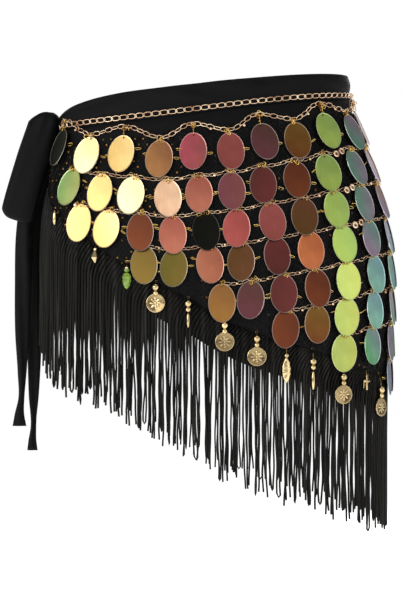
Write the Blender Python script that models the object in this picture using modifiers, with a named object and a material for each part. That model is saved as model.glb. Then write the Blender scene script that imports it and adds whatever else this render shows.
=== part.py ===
"""A belly dance hip scarf, tied at the wearer's right hip and standing in its worn form.

Every piece lies on one rounded hip form, which is empty.  A place on it is given by two
numbers: its share of the way round, 0 at the point of the scarf (+X), +1 at the knot (-X)
by the front (-Y) and -1 at the knot by the back, and its height over the waistband's middle.
All lengths are in metres, +Z is up, and the origin is the middle of the waistband's ring.
"""

import math
from typing import NamedTuple

import bmesh
import bpy
import numpy as np
from mathutils import Matrix, Vector

# ---- the form that the scarf is worn on ----------------------------------------------------


class Section(NamedTuple):
    """A level cut of the hip form: its height, half width and sideways shift."""

    height: float
    half_width: float
    shift: float


HIP_SECTIONS = (
    Section(-0.460, 0.180, 0.0025),
    Section(-0.292, 0.180, 0.0025),
    Section(-0.265, 0.181, 0.0035),
    Section(-0.231, 0.182, 0.0045),
    Section(-0.193, 0.182, 0.0050),
    Section(-0.152, 0.181, 0.0045),
    Section(-0.114, 0.177, 0.0030),
    Section(-0.078, 0.170, 0.0010),
    Section(-0.042, 0.161, -0.0015),
    Section(-0.008, 0.152, -0.0040),
    Section(0.040, 0.148, -0.0060),
)
DEPTH_SHARE = 0.65  # depth of the hips over their width
SQUARENESS = 2.6  # exponent of the level cut: 2 is an ellipse
CLEARANCE = 0.0003  # between pieces that touch

# ---- waistband and main chain -----------------------------------------------------------------

CHAIN_MIDDLE = -0.008  # height of the main chain half way round
CHAIN_TILT = 0.017  # how far it rises at the point and falls at the knot
CHAIN_RADIUS = 0.0021
CHAIN_STEPS = 54
CHAIN_END_SHARE = 0.905  # the chain stops beside the knot
BAND_WALL = 0.0016
BAND_BELOW_CHAIN = 0.004
BAND_ROLL = 0.0014  # how far the band's two soft rolls stand out
BAND_COLUMNS = 52


class BandWidth(NamedTuple):
    """How far the band reaches above the main chain at one share of the way round."""

    share: float
    above_chain: float


BAND_WIDTHS = (
    BandWidth(0.00, 0.020),
    BandWidth(0.30, 0.023),
    BandWidth(0.60, 0.026),
    BandWidth(0.75, 0.025),
    BandWidth(0.84, 0.020),
    BandWidth(0.95, 0.012),
    BandWidth(1.00, 0.011),
)

# ---- net panel and fringe ---------------------------------------------------------------------

PANEL_WALL = 0.0012
PANEL_COLUMNS = BAND_COLUMNS - 2  # the same columns as the band's, but for two at the knot
PANEL_EDGE_SHARE = PANEL_COLUMNS / BAND_COLUMNS
PANEL_ROWS = 6
PANEL_ROW_POWER = 1.5  # rows lie closer together at the waist, where the form curves most
SEAM_GAP = 0.0007  # under the band; the wall's outer edge leans up into it
FLUTE_DEPTH = 0.0015  # the soft flutes that the loose hem falls into
FLUTES_ROUND = 20


class HemPoint(NamedTuple):
    """The hem's height and the fringe's length below it at one share of the way round."""

    share: float
    height: float
    fringe: float


HEM = (
    HemPoint(0.000, -0.292, 0.142),
    HemPoint(0.120, -0.283, 0.154),
    HemPoint(0.290, -0.258, 0.158),
    HemPoint(0.480, -0.226, 0.160),
    HemPoint(0.560, -0.203, 0.162),
    HemPoint(0.650, -0.180, 0.158),
    HemPoint(0.720, -0.158, 0.158),
    HemPoint(0.810, -0.130, 0.170),
    HemPoint(0.920, -0.085, 0.180),
    HemPoint(0.965, -0.052, 0.184),
)
FRINGE_SHARES = (0.004, 0.945)  # where each fringe starts and ends
STRANDS_A_SIDE = 90
STRAND_WIDTH = 0.0021
STRIP_HEIGHT = 0.009
STRIP_WALL = 0.0016
STRAND_KNEE = 0.050  # below the hem, a strand has come out over the hips by here
STRAND_UNEVEN = 0.005
STRAND_TAPER = 0.75

# ---- mirror discs -----------------------------------------------------------------------------

DISC_WIDTH = 0.028
DISC_LENGTH = 0.0395
DISC_THICKNESS = 0.0012
DISC_LOWER_POINTS = 7  # of a disc's outline, between its two links by way of the lower edge
DISC_LIFT = 0.0045  # the lower edge stands further from the cloth than the upper one
DISC_RING_DROP = 0.0025  # from a disc's upper edge down to the chain it hangs on
ROW_CHAIN_WIDTH = 0.0012  # the chain leaves each disc by its edge
ROW_CHAIN_OUT = 0.0035  # from the hip form to the chain where it holds a disc
ROW_SAG_OUT = 0.0023  # the same half way between two discs, where it lies on the net
FIRST_SAG_OUT = 0.0028  # the same on the first row, which crosses the seam under the band
ROW_CHAIN_SAG = 0.0045  # between two discs
FIRST_ROW_HEIGHT = -0.025
ROW_SPACING = 0.0365
ZIGZAG = 0.002  # first row only: every other disc hangs this much lower or higher


class DiscRow(NamedTuple):
    """One row of discs: how many a side, where the first hangs, and the space between them."""

    discs_a_side: int
    first: float
    spacing: float
    closing: float  # how much each space is narrower than the one before
    droop: float  # share of the common droop


DISC_ROWS = (
    DiscRow(11, 0.0190, 0.0369, 0.0, 0.84),
    DiscRow(11, 0.0, 0.0380, 0.00028, 0.96),
    DiscRow(11, 0.0, 0.0395, 0.00042, 0.98),
    DiscRow(9, 0.0, 0.0395, 0.00042, 0.90),
    DiscRow(7, 0.0, 0.0400, 0.00075, 1.00),
    DiscRow(5, 0.0, 0.0415, 0.00120, 1.00),
    DiscRow(3, 0.0, 0.0430, 0.00160, 1.00),
    DiscRow(1, 0.0, 0.0390, 0.0, 0.90),
)


class Droop(NamedTuple):
    """How far a row hangs below its height at the point, by the distance round from there."""

    distance: float
    drop: float


ROW_DROOP = (
    Droop(0.000, 0.000),
    Droop(0.040, 0.003),
    Droop(0.075, 0.006),
    Droop(0.111, 0.013),
    Droop(0.148, 0.021),
    Droop(0.185, 0.027),
    Droop(0.221, 0.034),
    Droop(0.255, 0.037),
    Droop(0.286, 0.041),
    Droop(0.320, 0.038),
    Droop(0.350, 0.035),
    Droop(0.384, 0.028),
)

# ---- charms on the hem ------------------------------------------------------------------------

COIN_RADIUS = 0.0096
COIN_THICKNESS = 0.0014
BEAD_RADIUS = 0.0027
BEAD_PITCH = 0.0056
STEM_RADIUS = 0.0006
STEM_SIDES = 5
CHARM_OUT = 0.0066  # from the hip form to a charm's middle line, over the fringe's strip
CHARM_HOOK_OUT = 0.0020  # the same at the loop that it hangs by
CHARM_HOOK_RISE = 0.003  # that loop is this far above the hem
# Down a drop: share of its length, and radius in bead radii.
DROP_PROFILE = ((0.0, 0.3), (0.25, 0.7), (0.65, 1.25), (0.9, 0.9), (1.0, 0.3))
STICK_LENGTH = 0.012


class Charm(NamedTuple):
    """What hangs from the hem at one share of the way round, from its first bead to its end."""

    name: str
    kind: str
    share: float
    start: float
    end: float  # height of a coin's middle, or of another charm's tip


CHARMS = (
    Charm("drop_gold", "drop", 0.851, -0.112, -0.127),
    Charm("drop_crystal", "drop", 0.744, -0.151, -0.166),
    Charm("drop_green", "drop", 0.678, -0.170, -0.193),
    Charm("coin_1", "coin", 0.620, -0.189, -0.207),
    Charm("stick_1", "stick", 0.555, -0.2055, -0.232),
    Charm("coin_2", "coin", 0.481, -0.2275, -0.246),
    Charm("coin_3", "coin", 0.416, -0.241, -0.261),
    Charm("leaf_1", "drop", 0.355, -0.258, -0.288),
    Charm("stick_2", "stick", 0.301, -0.264, -0.295),
    Charm("coin_4", "coin", 0.233, -0.280, -0.300),
    Charm("cross_1", "drop", 0.177, -0.280, -0.296),
    Charm("coin_5", "coin", 0.126, -0.294, -0.314),
)

# ---- the tie: knot, bow loop and two tails ---------------------------------------------------

KNOT_SHARE = 0.95
KNOT_HEIGHT = -0.020
KNOT_HALF = (0.0095, 0.013, 0.0145)  # outward, round the hip, up
KNOT_OUT = 0.0075
LOOP_WIDTH = 0.030
LOOP_LENGTH = 0.119
LOOP_LEAN = math.radians(17.0)  # the loop falls away from the hip by this much
LOOP_HALF_GAP = 0.0065
LOOP_STEPS = 20
LOOP_END = 0.012  # share of the strip that is inside the knot, at each end
LOOP_START = Vector((-0.004, -0.009, 0.006))  # from the knot's middle
LOOP_NARROW = 0.38  # share of its width that the loop has at the knot
LOOP_FULL_AT = 0.42  # share of its length at which it has its whole width
LOOP_CUP = 0.003
LOOP_REACH_POWER = 0.8
TIE_WALL = 0.0014
KNOT_CREASE = 0.14  # depth of the wrap's crease, as a share of the knot
KNOT_CREASE_WIDTH = 0.28
KNOT_CREASE_SLANT = 0.7
SHADOW_SHARE = 0.12  # half size of the block that trims the knot's back: round, up and in
SHADOW_TALL = 0.05
SHADOW_DEEP = 0.03


class TailPoint(NamedTuple):
    """A tail's middle and how wide it lies at one height; fold is how far it is cupped."""

    height: float
    x: float
    y: float
    width: float
    fold: float


TAIL_SHORT = (
    TailPoint(-0.022, -0.170, -0.020, 0.013, 0.003),
    TailPoint(-0.070, -0.184, -0.012, 0.018, 0.003),
    TailPoint(-0.130, -0.194, -0.011, 0.018, 0.004),
    TailPoint(-0.190, -0.196, -0.011, 0.017, 0.003),
    TailPoint(-0.240, -0.197, -0.011, 0.014, 0.003),
    TailPoint(-0.280, -0.197, -0.011, 0.009, 0.002),
    TailPoint(-0.308, -0.198, -0.011, 0.006, 0.001),
    TailPoint(-0.324, -0.200, -0.011, 0.010, 0.001),
    TailPoint(-0.336, -0.200, -0.011, 0.0145, 0.000),
)
TAIL_LONG = (
    TailPoint(-0.023, -0.167, -0.013, 0.011, 0.002),
    TailPoint(-0.070, -0.177, -0.002, 0.016, 0.003),
    TailPoint(-0.130, -0.184, -0.001, 0.018, 0.004),
    TailPoint(-0.190, -0.185, 0.000, 0.017, 0.003),
    TailPoint(-0.256, -0.185, 0.000, 0.014, 0.003),
    TailPoint(-0.304, -0.1855, 0.000, 0.010, 0.002),
    TailPoint(-0.340, -0.186, 0.000, 0.0055, 0.001),
    TailPoint(-0.352, -0.187, 0.000, 0.008, 0.001),
    TailPoint(-0.362, -0.187, 0.000, 0.0105, 0.000),
)

# ---- finishes: colour, roughness, metallic ----------------------------------------------------

FINISHES = {
    "jersey": ((0.012, 0.012, 0.015), 0.85, 0.0),
    "net": ((0.010, 0.010, 0.012), 0.90, 0.0),
    "fringe": ((0.010, 0.010, 0.011), 0.80, 0.0),
    "gold": ((0.76, 0.53, 0.25), 0.32, 1.0),
    "disc_copper": ((0.55, 0.22, 0.12), 0.30, 0.9),
    "disc_olive": ((0.45, 0.42, 0.14), 0.30, 0.9),
    "crystal_green": ((0.25, 0.55, 0.10), 0.10, 0.0),
}

parts = None  # the collection of the scarf's pieces, made in main


# ---- reading the tables -----------------------------------------------------------------------


def smooth_curve(stations, values, at):
    """The cubic curve through a table's values, read at one station."""
    stations, values = np.asarray(stations), np.asarray(values)
    slopes = np.gradient(values, stations)
    i = int(np.clip(np.searchsorted(stations, at) - 1, 0, len(stations) - 2))
    gap = stations[i + 1] - stations[i]
    u = min(max((at - stations[i]) / gap, 0.0), 1.0)
    start = (2 * u**3 - 3 * u**2 + 1) * values[i] + (u**3 - 2 * u**2 + u) * gap * slopes[i]
    end = (3 * u**2 - 2 * u**3) * values[i + 1] + (u**3 - u**2) * gap * slopes[i + 1]
    return float(start + end)


def table_reader(table, station, value):
    """A function that reads one column of a table along another."""
    rows = sorted(table, key=lambda row: getattr(row, station))
    stations = [getattr(row, station) for row in rows]
    values = [getattr(row, value) for row in rows]
    return lambda at: smooth_curve(stations, values, at)


half_width = table_reader(HIP_SECTIONS, "height", "half_width")
sideways = table_reader(HIP_SECTIONS, "height", "shift")
above_chain = table_reader(BAND_WIDTHS, "share", "above_chain")
hem_height = table_reader(HEM, "share", "height")
fringe_length = table_reader(HEM, "share", "fringe")
droop_at = table_reader(ROW_DROOP, "distance", "drop")


def level_cut(angle):
    """A point of the level cut whose half width is 1."""
    power = 2 / SQUARENESS
    x = math.copysign(abs(math.cos(angle)) ** power, math.cos(angle))
    return x, DEPTH_SHARE * abs(math.sin(angle)) ** power


def arc_table(steps=720):
    """Angles of the level cut, and the share of its half girth at each."""
    angles = np.linspace(0, math.pi, steps + 1)
    points = np.array([level_cut(a) for a in angles])
    runs = np.linalg.norm(np.diff(points, axis=0), axis=1)
    lengths = np.concatenate([[0], np.cumsum(runs)])
    return angles, lengths / lengths[-1], float(lengths[-1])


ARC_ANGLES, ARC_SHARES, GIRTH_PER_WIDTH = arc_table()


def half_girth(height):
    """Distance round from the point of the scarf to the knot at one height."""
    return half_width(height) * GIRTH_PER_WIDTH


def flute(share, height):
    """How far the cloth's soft flutes stand out; they grow towards the hem."""
    down = min(max((chain_height(share) - height) / 0.25, 0.0), 1.0)
    return FLUTE_DEPTH * down * (0.5 + 0.5 * math.cos(FLUTES_ROUND * math.pi * share))


def place(share, height, out=0.0, fluted=True):
    """The point of the hip form at a share round and a height, moved outward."""
    angle = float(np.interp(abs(share), ARC_SHARES, ARC_ANGLES))
    unit_x, unit_y = level_cut(angle)
    across = abs(unit_x) ** (SQUARENESS - 1)
    along = (unit_y / DEPTH_SHARE) ** (SQUARENESS - 1) / DEPTH_SHARE
    size = math.hypot(across, along)
    side = 1.0 if share < 0 else -1.0
    wide = half_width(height)
    reach = out + (flute(share, height) if fluted else 0.0)
    return Vector(
        (
            sideways(height) + wide * unit_x + reach * math.copysign(across, unit_x) / size,
            side * (wide * unit_y + reach * along / size),
            height,
        )
    )


def frame_on(share, height, out=0.0):
    """A matrix at a place: X runs round towards +share 0, Y up the cloth and Z outward."""
    step = 0.004
    here = place(share, height, out)
    up = (place(share, height + step, out) - place(share, height - step, out)).normalized()
    ahead = place(share - step, height, out) - place(share + step, height, out)
    outward = ahead.cross(up).normalized()
    round_it = up.cross(outward)
    matrix = Matrix((round_it, up, outward)).transposed().to_4x4()
    matrix.translation = here
    return matrix


def chain_height(share):
    """Height of the main chain."""
    return CHAIN_MIDDLE + CHAIN_TILT * math.cos(math.pi * share)


def jitter(number, salt):
    """A steady value from -1 to 1 that looks uneven from one number to the next."""
    return math.sin(number * 12.9898 + salt * 78.233) * math.cos(number * 4.1414 + salt)


# ---- making objects ---------------------------------------------------------------------------


def finish(name):
    """The Principled material of one finish."""
    material = bpy.data.materials.get(name)
    if material is None:
        material = bpy.data.materials.new(name)
        material.use_nodes = True
        colour, roughness, metallic = FINISHES[name]
        shader = material.node_tree.nodes["Principled BSDF"]
        shader.inputs["Base Color"].default_value = (*colour, 1.0)
        shader.inputs["Roughness"].default_value = roughness
        shader.inputs["Metallic"].default_value = metallic
    return material


def add_object(name, mesh, finish_name):
    """A named piece of the scarf with its own material."""
    obj = bpy.data.objects.new(name, mesh)
    mesh.materials.clear()
    mesh.materials.append(finish(finish_name))
    parts.objects.link(obj)
    return obj


def to_mesh(shape, name):
    """A mesh from a bmesh, with faces outward."""
    bmesh.ops.recalc_face_normals(shape, faces=shape.faces)
    mesh = bpy.data.meshes.new(name)
    shape.to_mesh(mesh)
    shape.free()
    return mesh


def soft_wall(name, columns, rows, surface, thickness, finish_name, closed=False):
    """A sheet of cloth: a grid laid on surface(across, up), both 0 to 1, then thickened outward."""
    sheet = bmesh.new()
    bmesh.ops.create_grid(sheet, x_segments=columns, y_segments=rows, size=1.0)
    for vertex in sheet.verts:
        vertex.co = surface((vertex.co.x + 1) / 2, (vertex.co.y + 1) / 2)
    if closed:
        bmesh.ops.remove_doubles(sheet, verts=sheet.verts, dist=0.0001)
    mesh = bpy.data.meshes.new(name)
    sheet.to_mesh(mesh)
    sheet.free()
    obj = add_object(name, mesh, finish_name)
    wall = obj.modifiers.new("wall", "SOLIDIFY")
    wall.thickness = thickness
    wall.offset = 1.0
    wall.use_even_offset = True
    return obj


def swept_tube(name, points, radii, sides):
    """A tube along the points with its own radius at each, as a closed mesh."""
    shape = bmesh.new()
    rings = []
    for number, (point, radius) in enumerate(zip(points, radii)):
        before, after = points[max(number - 1, 0)], points[min(number + 1, len(points) - 1)]
        ahead = (after - before).normalized()
        steady = Vector((0, 0, 1)) if abs(ahead.z) < 0.8 else Vector((1, 0, 0))
        side = ahead.cross(steady).normalized()
        up = side.cross(ahead)
        turns = (2 * math.pi * (k + 0.5) / sides for k in range(sides))
        spokes = (side * math.cos(turn) + up * math.sin(turn) for turn in turns)
        rings.append([shape.verts.new(point + spoke * radius) for spoke in spokes])
    for near, far in zip(rings, rings[1:]):
        for k in range(sides):
            shape.faces.new((near[k - 1], near[k], far[k], far[k - 1]))
    shape.faces.new(rings[0])
    shape.faces.new(rings[-1])
    return to_mesh(shape, name)


def boolean(name, base_mesh, tool_mesh, operation, finish_name):
    """One closed body from two meshes; the two meshes are used up."""
    base = add_object(name, base_mesh, finish_name)
    tool = bpy.data.objects.new("tool", tool_mesh)
    parts.objects.link(tool)
    cut = base.modifiers.new("boolean", "BOOLEAN")
    cut.operation = operation
    cut.solver = "EXACT"
    cut.object = tool
    bpy.context.view_layer.update()
    made = base.evaluated_get(bpy.context.evaluated_depsgraph_get())
    mesh = bpy.data.meshes.new_from_object(made)
    base.modifiers.clear()
    base.data = mesh
    mesh.name = name
    bpy.data.objects.remove(tool)
    bpy.data.meshes.remove(tool_mesh)
    bpy.data.meshes.remove(base_mesh)
    return base


# ---- cloth ------------------------------------------------------------------------------------


def build_waistband():
    """The gathered jersey band: a closed ring with two soft rolls round it."""

    def surface(across, up):
        share = 1 - 2 * across
        bottom = chain_height(share) - BAND_BELOW_CHAIN
        tall = above_chain(abs(share)) + BAND_BELOW_CHAIN
        roll = BAND_ROLL * math.sin(math.pi * up) ** 2 * (1 + 0.3 * math.sin(9 * math.pi * share))
        return place(share, bottom + up * tall, roll, fluted=False)

    soft_wall("waistband", BAND_COLUMNS, 3, surface, BAND_WALL, "jersey", closed=True)


def build_net_panel():
    """The black net triangle, wrapped round with its point at +X and open below the knot."""

    def surface(across, up):
        share = PANEL_EDGE_SHARE * (1 - 2 * across)
        top = chain_height(share) - BAND_BELOW_CHAIN - SEAM_GAP
        bottom = hem_height(abs(share))
        return place(share, top - (1 - up) ** PANEL_ROW_POWER * (top - bottom))

    soft_wall("net_panel", PANEL_COLUMNS, PANEL_ROWS, surface, PANEL_WALL, "net")


def strand_point(share, root, height, out):
    """A strand comes down over the widest level above it, as a hanging cord does."""
    wide = max((half_width(h), h) for h in np.linspace(height, root, 7))[1]
    point = place(share, wide, out, fluted=False)
    point.z = height
    return point


def build_fringe(name, side):
    """A narrow strip under the hem with its strands; side is +1 in front and -1 behind."""
    shape = bmesh.new()
    start, end = FRINGE_SHARES
    pitch = (end - start) / STRANDS_A_SIDE
    corners = ((0.0, STRIP_WALL / 2), (-STRIP_HEIGHT, STRIP_WALL), (-STRIP_HEIGHT, 0.0))

    def ring(share):
        top = hem_height(share) - CLEARANCE
        return [shape.verts.new(place(side * share, top + drop, out)) for drop, out in corners]

    strand_share = STRAND_WIDTH / half_girth(-0.25)
    rings, undersides = [ring(start)], []
    for number in range(STRANDS_A_SIDE):
        middle = start + (number + 0.5) * pitch
        for share in (middle - strand_share / 2, middle + strand_share / 2):
            rings.append(ring(share))
    rings.append(ring(end))
    for number, (near, far) in enumerate(zip(rings, rings[1:])):
        for k in range(3):
            face = shape.faces.new((near[k - 1], near[k], far[k], far[k - 1]))
            if k == 2 and number % 2 == 1:
                undersides.append(face)
    shape.faces.new(rings[0])
    shape.faces.new(rings[-1][::-1])
    bmesh.ops.recalc_face_normals(shape, faces=shape.faces)
    for number, face in enumerate(undersides):
        share = start + (number + 0.5) * pitch
        root = hem_height(share) - STRIP_HEIGHT
        tip = root + STRIP_HEIGHT - fringe_length(share) + STRAND_UNEVEN * jitter(number, side)
        knee = root - STRAND_KNEE
        levels = (knee, tip) if root > -0.20 else (tip,)
        for height in levels:
            grown = bmesh.ops.extrude_discrete_faces(shape, faces=[face])
            face = grown["faces"][0]
            middle = face.calc_center_median()
            target = strand_point(side * share, root, height, STRIP_WALL / 2)
            for vertex in face.verts:
                vertex.co = target + STRAND_TAPER * (vertex.co - middle)
                vertex.co.z = height
    mesh = to_mesh(shape, name)
    add_object(name, mesh, "fringe")


# ---- chains and discs -------------------------------------------------------------------------


def build_main_chain():
    """The gold chain along the band's lower edge, from one side of the knot to the other."""
    out = BAND_WALL + BAND_ROLL * 0.75 + CLEARANCE + CHAIN_RADIUS
    points = []
    for step in range(CHAIN_STEPS + 1):
        share = CHAIN_END_SHARE * (1 - 2 * step / CHAIN_STEPS)
        points.append(place(share, chain_height(share), out, fluted=False))
    radii = [CHAIN_RADIUS] * len(points)
    add_object("main_chain", swept_tube("main_chain", points, radii, 4), "gold")


def disc_distances(row):
    """Signed distances round from the point of the scarf to a row's discs, in order."""
    skip = 0 if row.first else 1
    one_side = [
        row.first + row.spacing * k - row.closing * k * k
        for k in range(skip, row.discs_a_side + skip)
    ]
    middle = [] if row.first else [0.0]
    return [-d for d in reversed(one_side)] + middle + one_side


def disc_height(number, row, distance):
    """Height of a disc's middle."""
    height = FIRST_ROW_HEIGHT - number * ROW_SPACING - row.droop * droop_at(abs(distance))
    if number == 0:
        order = round((abs(distance) - row.first) / row.spacing)
        height += ZIGZAG * (-1) ** order
    return height


def disc_frame(share, height, out, half_length):
    """A hanging disc's matrix: its upper edge is out from the form, its lower edge further."""
    top = place(share, height + half_length, out)
    bottom = place(share, height - half_length, out + DISC_LIFT)
    up = (top - bottom).normalized()
    outward = frame_on(share, height).to_3x3().col[2]
    round_it = up.cross(outward).normalized()
    matrix = Matrix((round_it, up, round_it.cross(up))).transposed().to_4x4()
    matrix.translation = (top + bottom) / 2
    return matrix


def disc_outline():
    """Turns round a disc's outline, and which pairs of them are its right and left link's ends."""
    hook = math.asin(1 - 2 * DISC_RING_DROP / DISC_LENGTH)
    wide, tall = DISC_WIDTH / 2 * math.sin(hook), DISC_LENGTH / 2 * math.cos(hook)
    half_link = ROW_CHAIN_WIDTH / 2 / math.hypot(wide, tall)
    right = [hook - half_link, hook + half_link]
    left = [math.pi - turn for turn in reversed(right)]
    below = np.linspace(left[1], right[0] + 2 * math.pi, DISC_LOWER_POINTS + 2)[1:-1]
    return right + [math.pi / 2] + left + list(below)


def add_disc(shape, frame, turns, open_right, open_left):
    """An oval disc in shape, open where its links join; returns the rings of the two openings."""
    faces = []
    for z in (DISC_THICKNESS / 2, -DISC_THICKNESS / 2):
        rim = [
            frame @ Vector((DISC_WIDTH / 2 * math.cos(t), DISC_LENGTH / 2 * math.sin(t), z))
            for t in turns
        ]
        faces.append([shape.verts.new(co) for co in rim])
    front, back = faces
    shape.faces.new(front)
    shape.faces.new(back[::-1])
    for k in range(len(turns)):
        if not (k == 1 and open_right or k == 4 and open_left):
            shape.faces.new((front[k - 1], back[k - 1], back[k], front[k]))
    right = (front[0], front[1], back[1], back[0])
    left = (front[4], front[3], back[3], back[4])
    return right, left


def add_link(shape, near, frame, far):
    """A sagging link from one disc's edge to the next, by a square at the middle frame."""
    half = ROW_CHAIN_WIDTH / 2
    corners = ((-half, half), (half, half), (half, -half), (-half, -half))
    middle = [shape.verts.new(frame @ Vector((0, y, z))) for y, z in corners]
    for start, end in ((near, middle), (middle, far)):
        for k in range(4):
            shape.faces.new((start[k - 1], start[k], end[k], end[k - 1]))


def build_disc_row(number, row):
    """A swagged chain with its discs, one body round the front, the point and the back."""
    half_length = DISC_LENGTH / 2
    turns = disc_outline()
    shape = bmesh.new()
    distances = disc_distances(row)
    last = None
    for distance in distances:
        height = disc_height(number, row, distance)
        share = distance / half_girth(height)
        frame = disc_frame(share, height, ROW_CHAIN_OUT, half_length)
        right, left = add_disc(
            shape, frame, turns, distance != distances[0], distance != distances[-1]
        )
        hook_height = height + half_length - DISC_RING_DROP
        if last:
            low = (last[1] + hook_height) / 2 - ROW_CHAIN_SAG
            middle = frame_on((last[0] + share) / 2, low, ROW_SAG_OUT if number else FIRST_SAG_OUT)
            add_link(shape, last[2], middle, right)
        last = (share, hook_height, left)
    name = f"disc_row_{number + 1}"
    add_object(name, to_mesh(shape, name), "disc_copper" if number < 5 else "disc_olive")


# ---- charms -----------------------------------------------------------------------------------


def charm_profile(charm):
    """Heights and radii down a charm's beads, from its hook to its end."""
    start = charm.start
    profile = [(hem_height(charm.share) + CHARM_HOOK_RISE, STEM_RADIUS), (start + 0.001, STEM_RADIUS)]
    if charm.kind == "drop":
        long = start - charm.end
        return profile + [(start - long * down, BEAD_RADIUS * wide) for down, wide in DROP_PROFILE]
    for bead in range(2):
        top = start - bead * BEAD_PITCH
        profile.append((top - 0.3 * BEAD_PITCH, BEAD_RADIUS))
        profile.append((top - 0.7 * BEAD_PITCH, BEAD_RADIUS))
        profile.append((top - 1.0 * BEAD_PITCH, STEM_RADIUS * 1.5))
    if charm.kind == "coin":
        profile.append((charm.end + COIN_RADIUS * 0.7, STEM_RADIUS))
    else:
        profile.append((charm.end + STICK_LENGTH, BEAD_RADIUS * 0.8))
        profile.append((charm.end, BEAD_RADIUS * 0.6))
    return profile


def build_charm(charm, side, name):
    """Beads with a coin, drop or stick; side is +1 in front and -1 behind."""
    share = side * charm.share
    profile = charm_profile(charm)
    points = [place(share, height, CHARM_OUT) for height, _ in profile]
    points[0] = place(share, profile[0][0], CHARM_HOOK_OUT)
    stem = swept_tube(name, points, [radius for _, radius in profile], STEM_SIDES)
    finish_name = "crystal_green" if charm.name == "drop_green" else "gold"
    if charm.kind != "coin":
        add_object(name, stem, finish_name)
        return
    coin = bmesh.new()
    bmesh.ops.create_cone(
        coin, cap_ends=True, segments=12, radius1=COIN_RADIUS, radius2=COIN_RADIUS, depth=COIN_THICKNESS
    )
    bmesh.ops.transform(coin, matrix=frame_on(share, charm.end, CHARM_OUT), verts=coin.verts)
    boolean(name, stem, to_mesh(coin, "coin"), "UNION", finish_name)


# ---- tie --------------------------------------------------------------------------------------


def knot_mesh(grow):
    """The knot's rounded lump, larger all round by grow."""
    lump = bmesh.new()
    bmesh.ops.create_uvsphere(lump, u_segments=14, v_segments=8, radius=1.0)
    for vertex in lump.verts:
        off_crease = (vertex.co.y + KNOT_CREASE_SLANT * vertex.co.x) / KNOT_CREASE_WIDTH
        vertex.co *= 1 - KNOT_CREASE * math.exp(-(off_crease**2))
    outward, round_it, up = (half + grow for half in KNOT_HALF)
    scale = Matrix.Diagonal((round_it, up, outward, 1.0))
    seat = frame_on(KNOT_SHARE, KNOT_HEIGHT, KNOT_OUT)
    turn = Matrix.Rotation(math.radians(90), 4, "X")
    bmesh.ops.transform(lump, matrix=seat @ scale @ turn, verts=lump.verts)
    return to_mesh(lump, "knot")


def band_shadow(out):
    """A block under the knot whose outer face follows the band, out from the hip form."""
    block = bmesh.new()
    bmesh.ops.create_grid(block, x_segments=12, y_segments=6, size=1.0)
    raised = bmesh.ops.extrude_face_region(block, geom=block.faces[:])["geom"]
    top = [item for item in raised if isinstance(item, bmesh.types.BMVert)]
    bmesh.ops.translate(block, verts=top, vec=(0, 0, 1))
    for vertex in block.verts:
        across, up, outward = vertex.co
        level = out if outward > 0.5 else out - SHADOW_DEEP
        share, height = KNOT_SHARE - SHADOW_SHARE * across, KNOT_HEIGHT + SHADOW_TALL * up
        vertex.co = place(share, height, level, fluted=False)
    return to_mesh(block, "band_shadow")


def build_knot():
    """The knot, seated on the band."""
    back = BAND_WALL + BAND_ROLL * 1.3 + 2 * CLEARANCE
    boolean("knot", knot_mesh(0.0), band_shadow(back), "DIFFERENCE", "jersey")


def build_bow_loop():
    """The half bow's loop: a strip that runs down, folds and comes back up behind itself."""
    knot = frame_on(KNOT_SHARE, KNOT_HEIGHT, KNOT_OUT).translation
    down = Vector((-math.sin(LOOP_LEAN), 0, -math.cos(LOOP_LEAN)))
    across = Vector((math.cos(LOOP_LEAN), 0.0, -math.sin(LOOP_LEAN)))
    front = Vector((0, -1, 0))
    start = knot + LOOP_START

    def surface(way_across, up):
        run = LOOP_END + (1 - 2 * LOOP_END) * up
        reach = LOOP_LENGTH * math.sin(math.pi * run) ** LOOP_REACH_POWER
        opened = min(reach / (LOOP_FULL_AT * LOOP_LENGTH), 1.0)
        side = (way_across - 0.5) * LOOP_WIDTH * (LOOP_NARROW + (1 - LOOP_NARROW) * opened)
        cup = LOOP_CUP * (1 - (2 * way_across - 1) ** 2) * math.cos(math.pi * run)
        gap = LOOP_HALF_GAP * math.sin(2 * math.pi * run) + cup
        return start + down * reach + across * side + front * gap

    strip = bmesh.new()
    bmesh.ops.create_grid(strip, x_segments=3, y_segments=LOOP_STEPS, size=1.0)
    for vertex in strip.verts:
        vertex.co = surface((vertex.co.x + 1) / 2, (vertex.co.y + 1) / 2)
    cut_free_of_knot("bow_loop", strip)


def cut_free_of_knot(name, strip):
    """Thickens a strip of the tie and trims its end to lie just off the knot."""
    sheet = bpy.data.meshes.new(name)
    strip.to_mesh(sheet)
    strip.free()
    holder = bpy.data.objects.new("strip", sheet)
    parts.objects.link(holder)
    wall = holder.modifiers.new("wall", "SOLIDIFY")
    wall.thickness = TIE_WALL
    wall.offset = 0.0
    wall.use_even_offset = True
    bpy.context.view_layer.update()
    solid = bpy.data.meshes.new_from_object(holder.evaluated_get(bpy.context.evaluated_depsgraph_get()))
    bpy.data.objects.remove(holder)
    bpy.data.meshes.remove(sheet)
    boolean(name, solid, knot_mesh(CLEARANCE), "DIFFERENCE", "jersey")


def build_tail(name, table):
    """One tail of the tie, a strip that is cupped along its middle and flares at its end."""
    strip = bmesh.new()
    bmesh.ops.create_grid(strip, x_segments=3, y_segments=2 * (len(table) - 1), size=1.0)
    read = {
        column: table_reader(table, "height", column) for column in ("x", "y", "width", "fold")
    }
    top, bottom = table[0].height, table[-1].height
    for vertex in strip.verts:
        side, up = vertex.co.x, (vertex.co.y + 1) / 2
        height = bottom + up * (top - bottom)
        cup = read["fold"](height) * (1 - side * side)
        vertex.co = Vector(
            (
                read["x"](height) + side * read["width"](height) / 2,
                read["y"](height) - cup,
                height,
            )
        )
    cut_free_of_knot(name, strip)


# ---- assembly ---------------------------------------------------------------------------------


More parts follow.
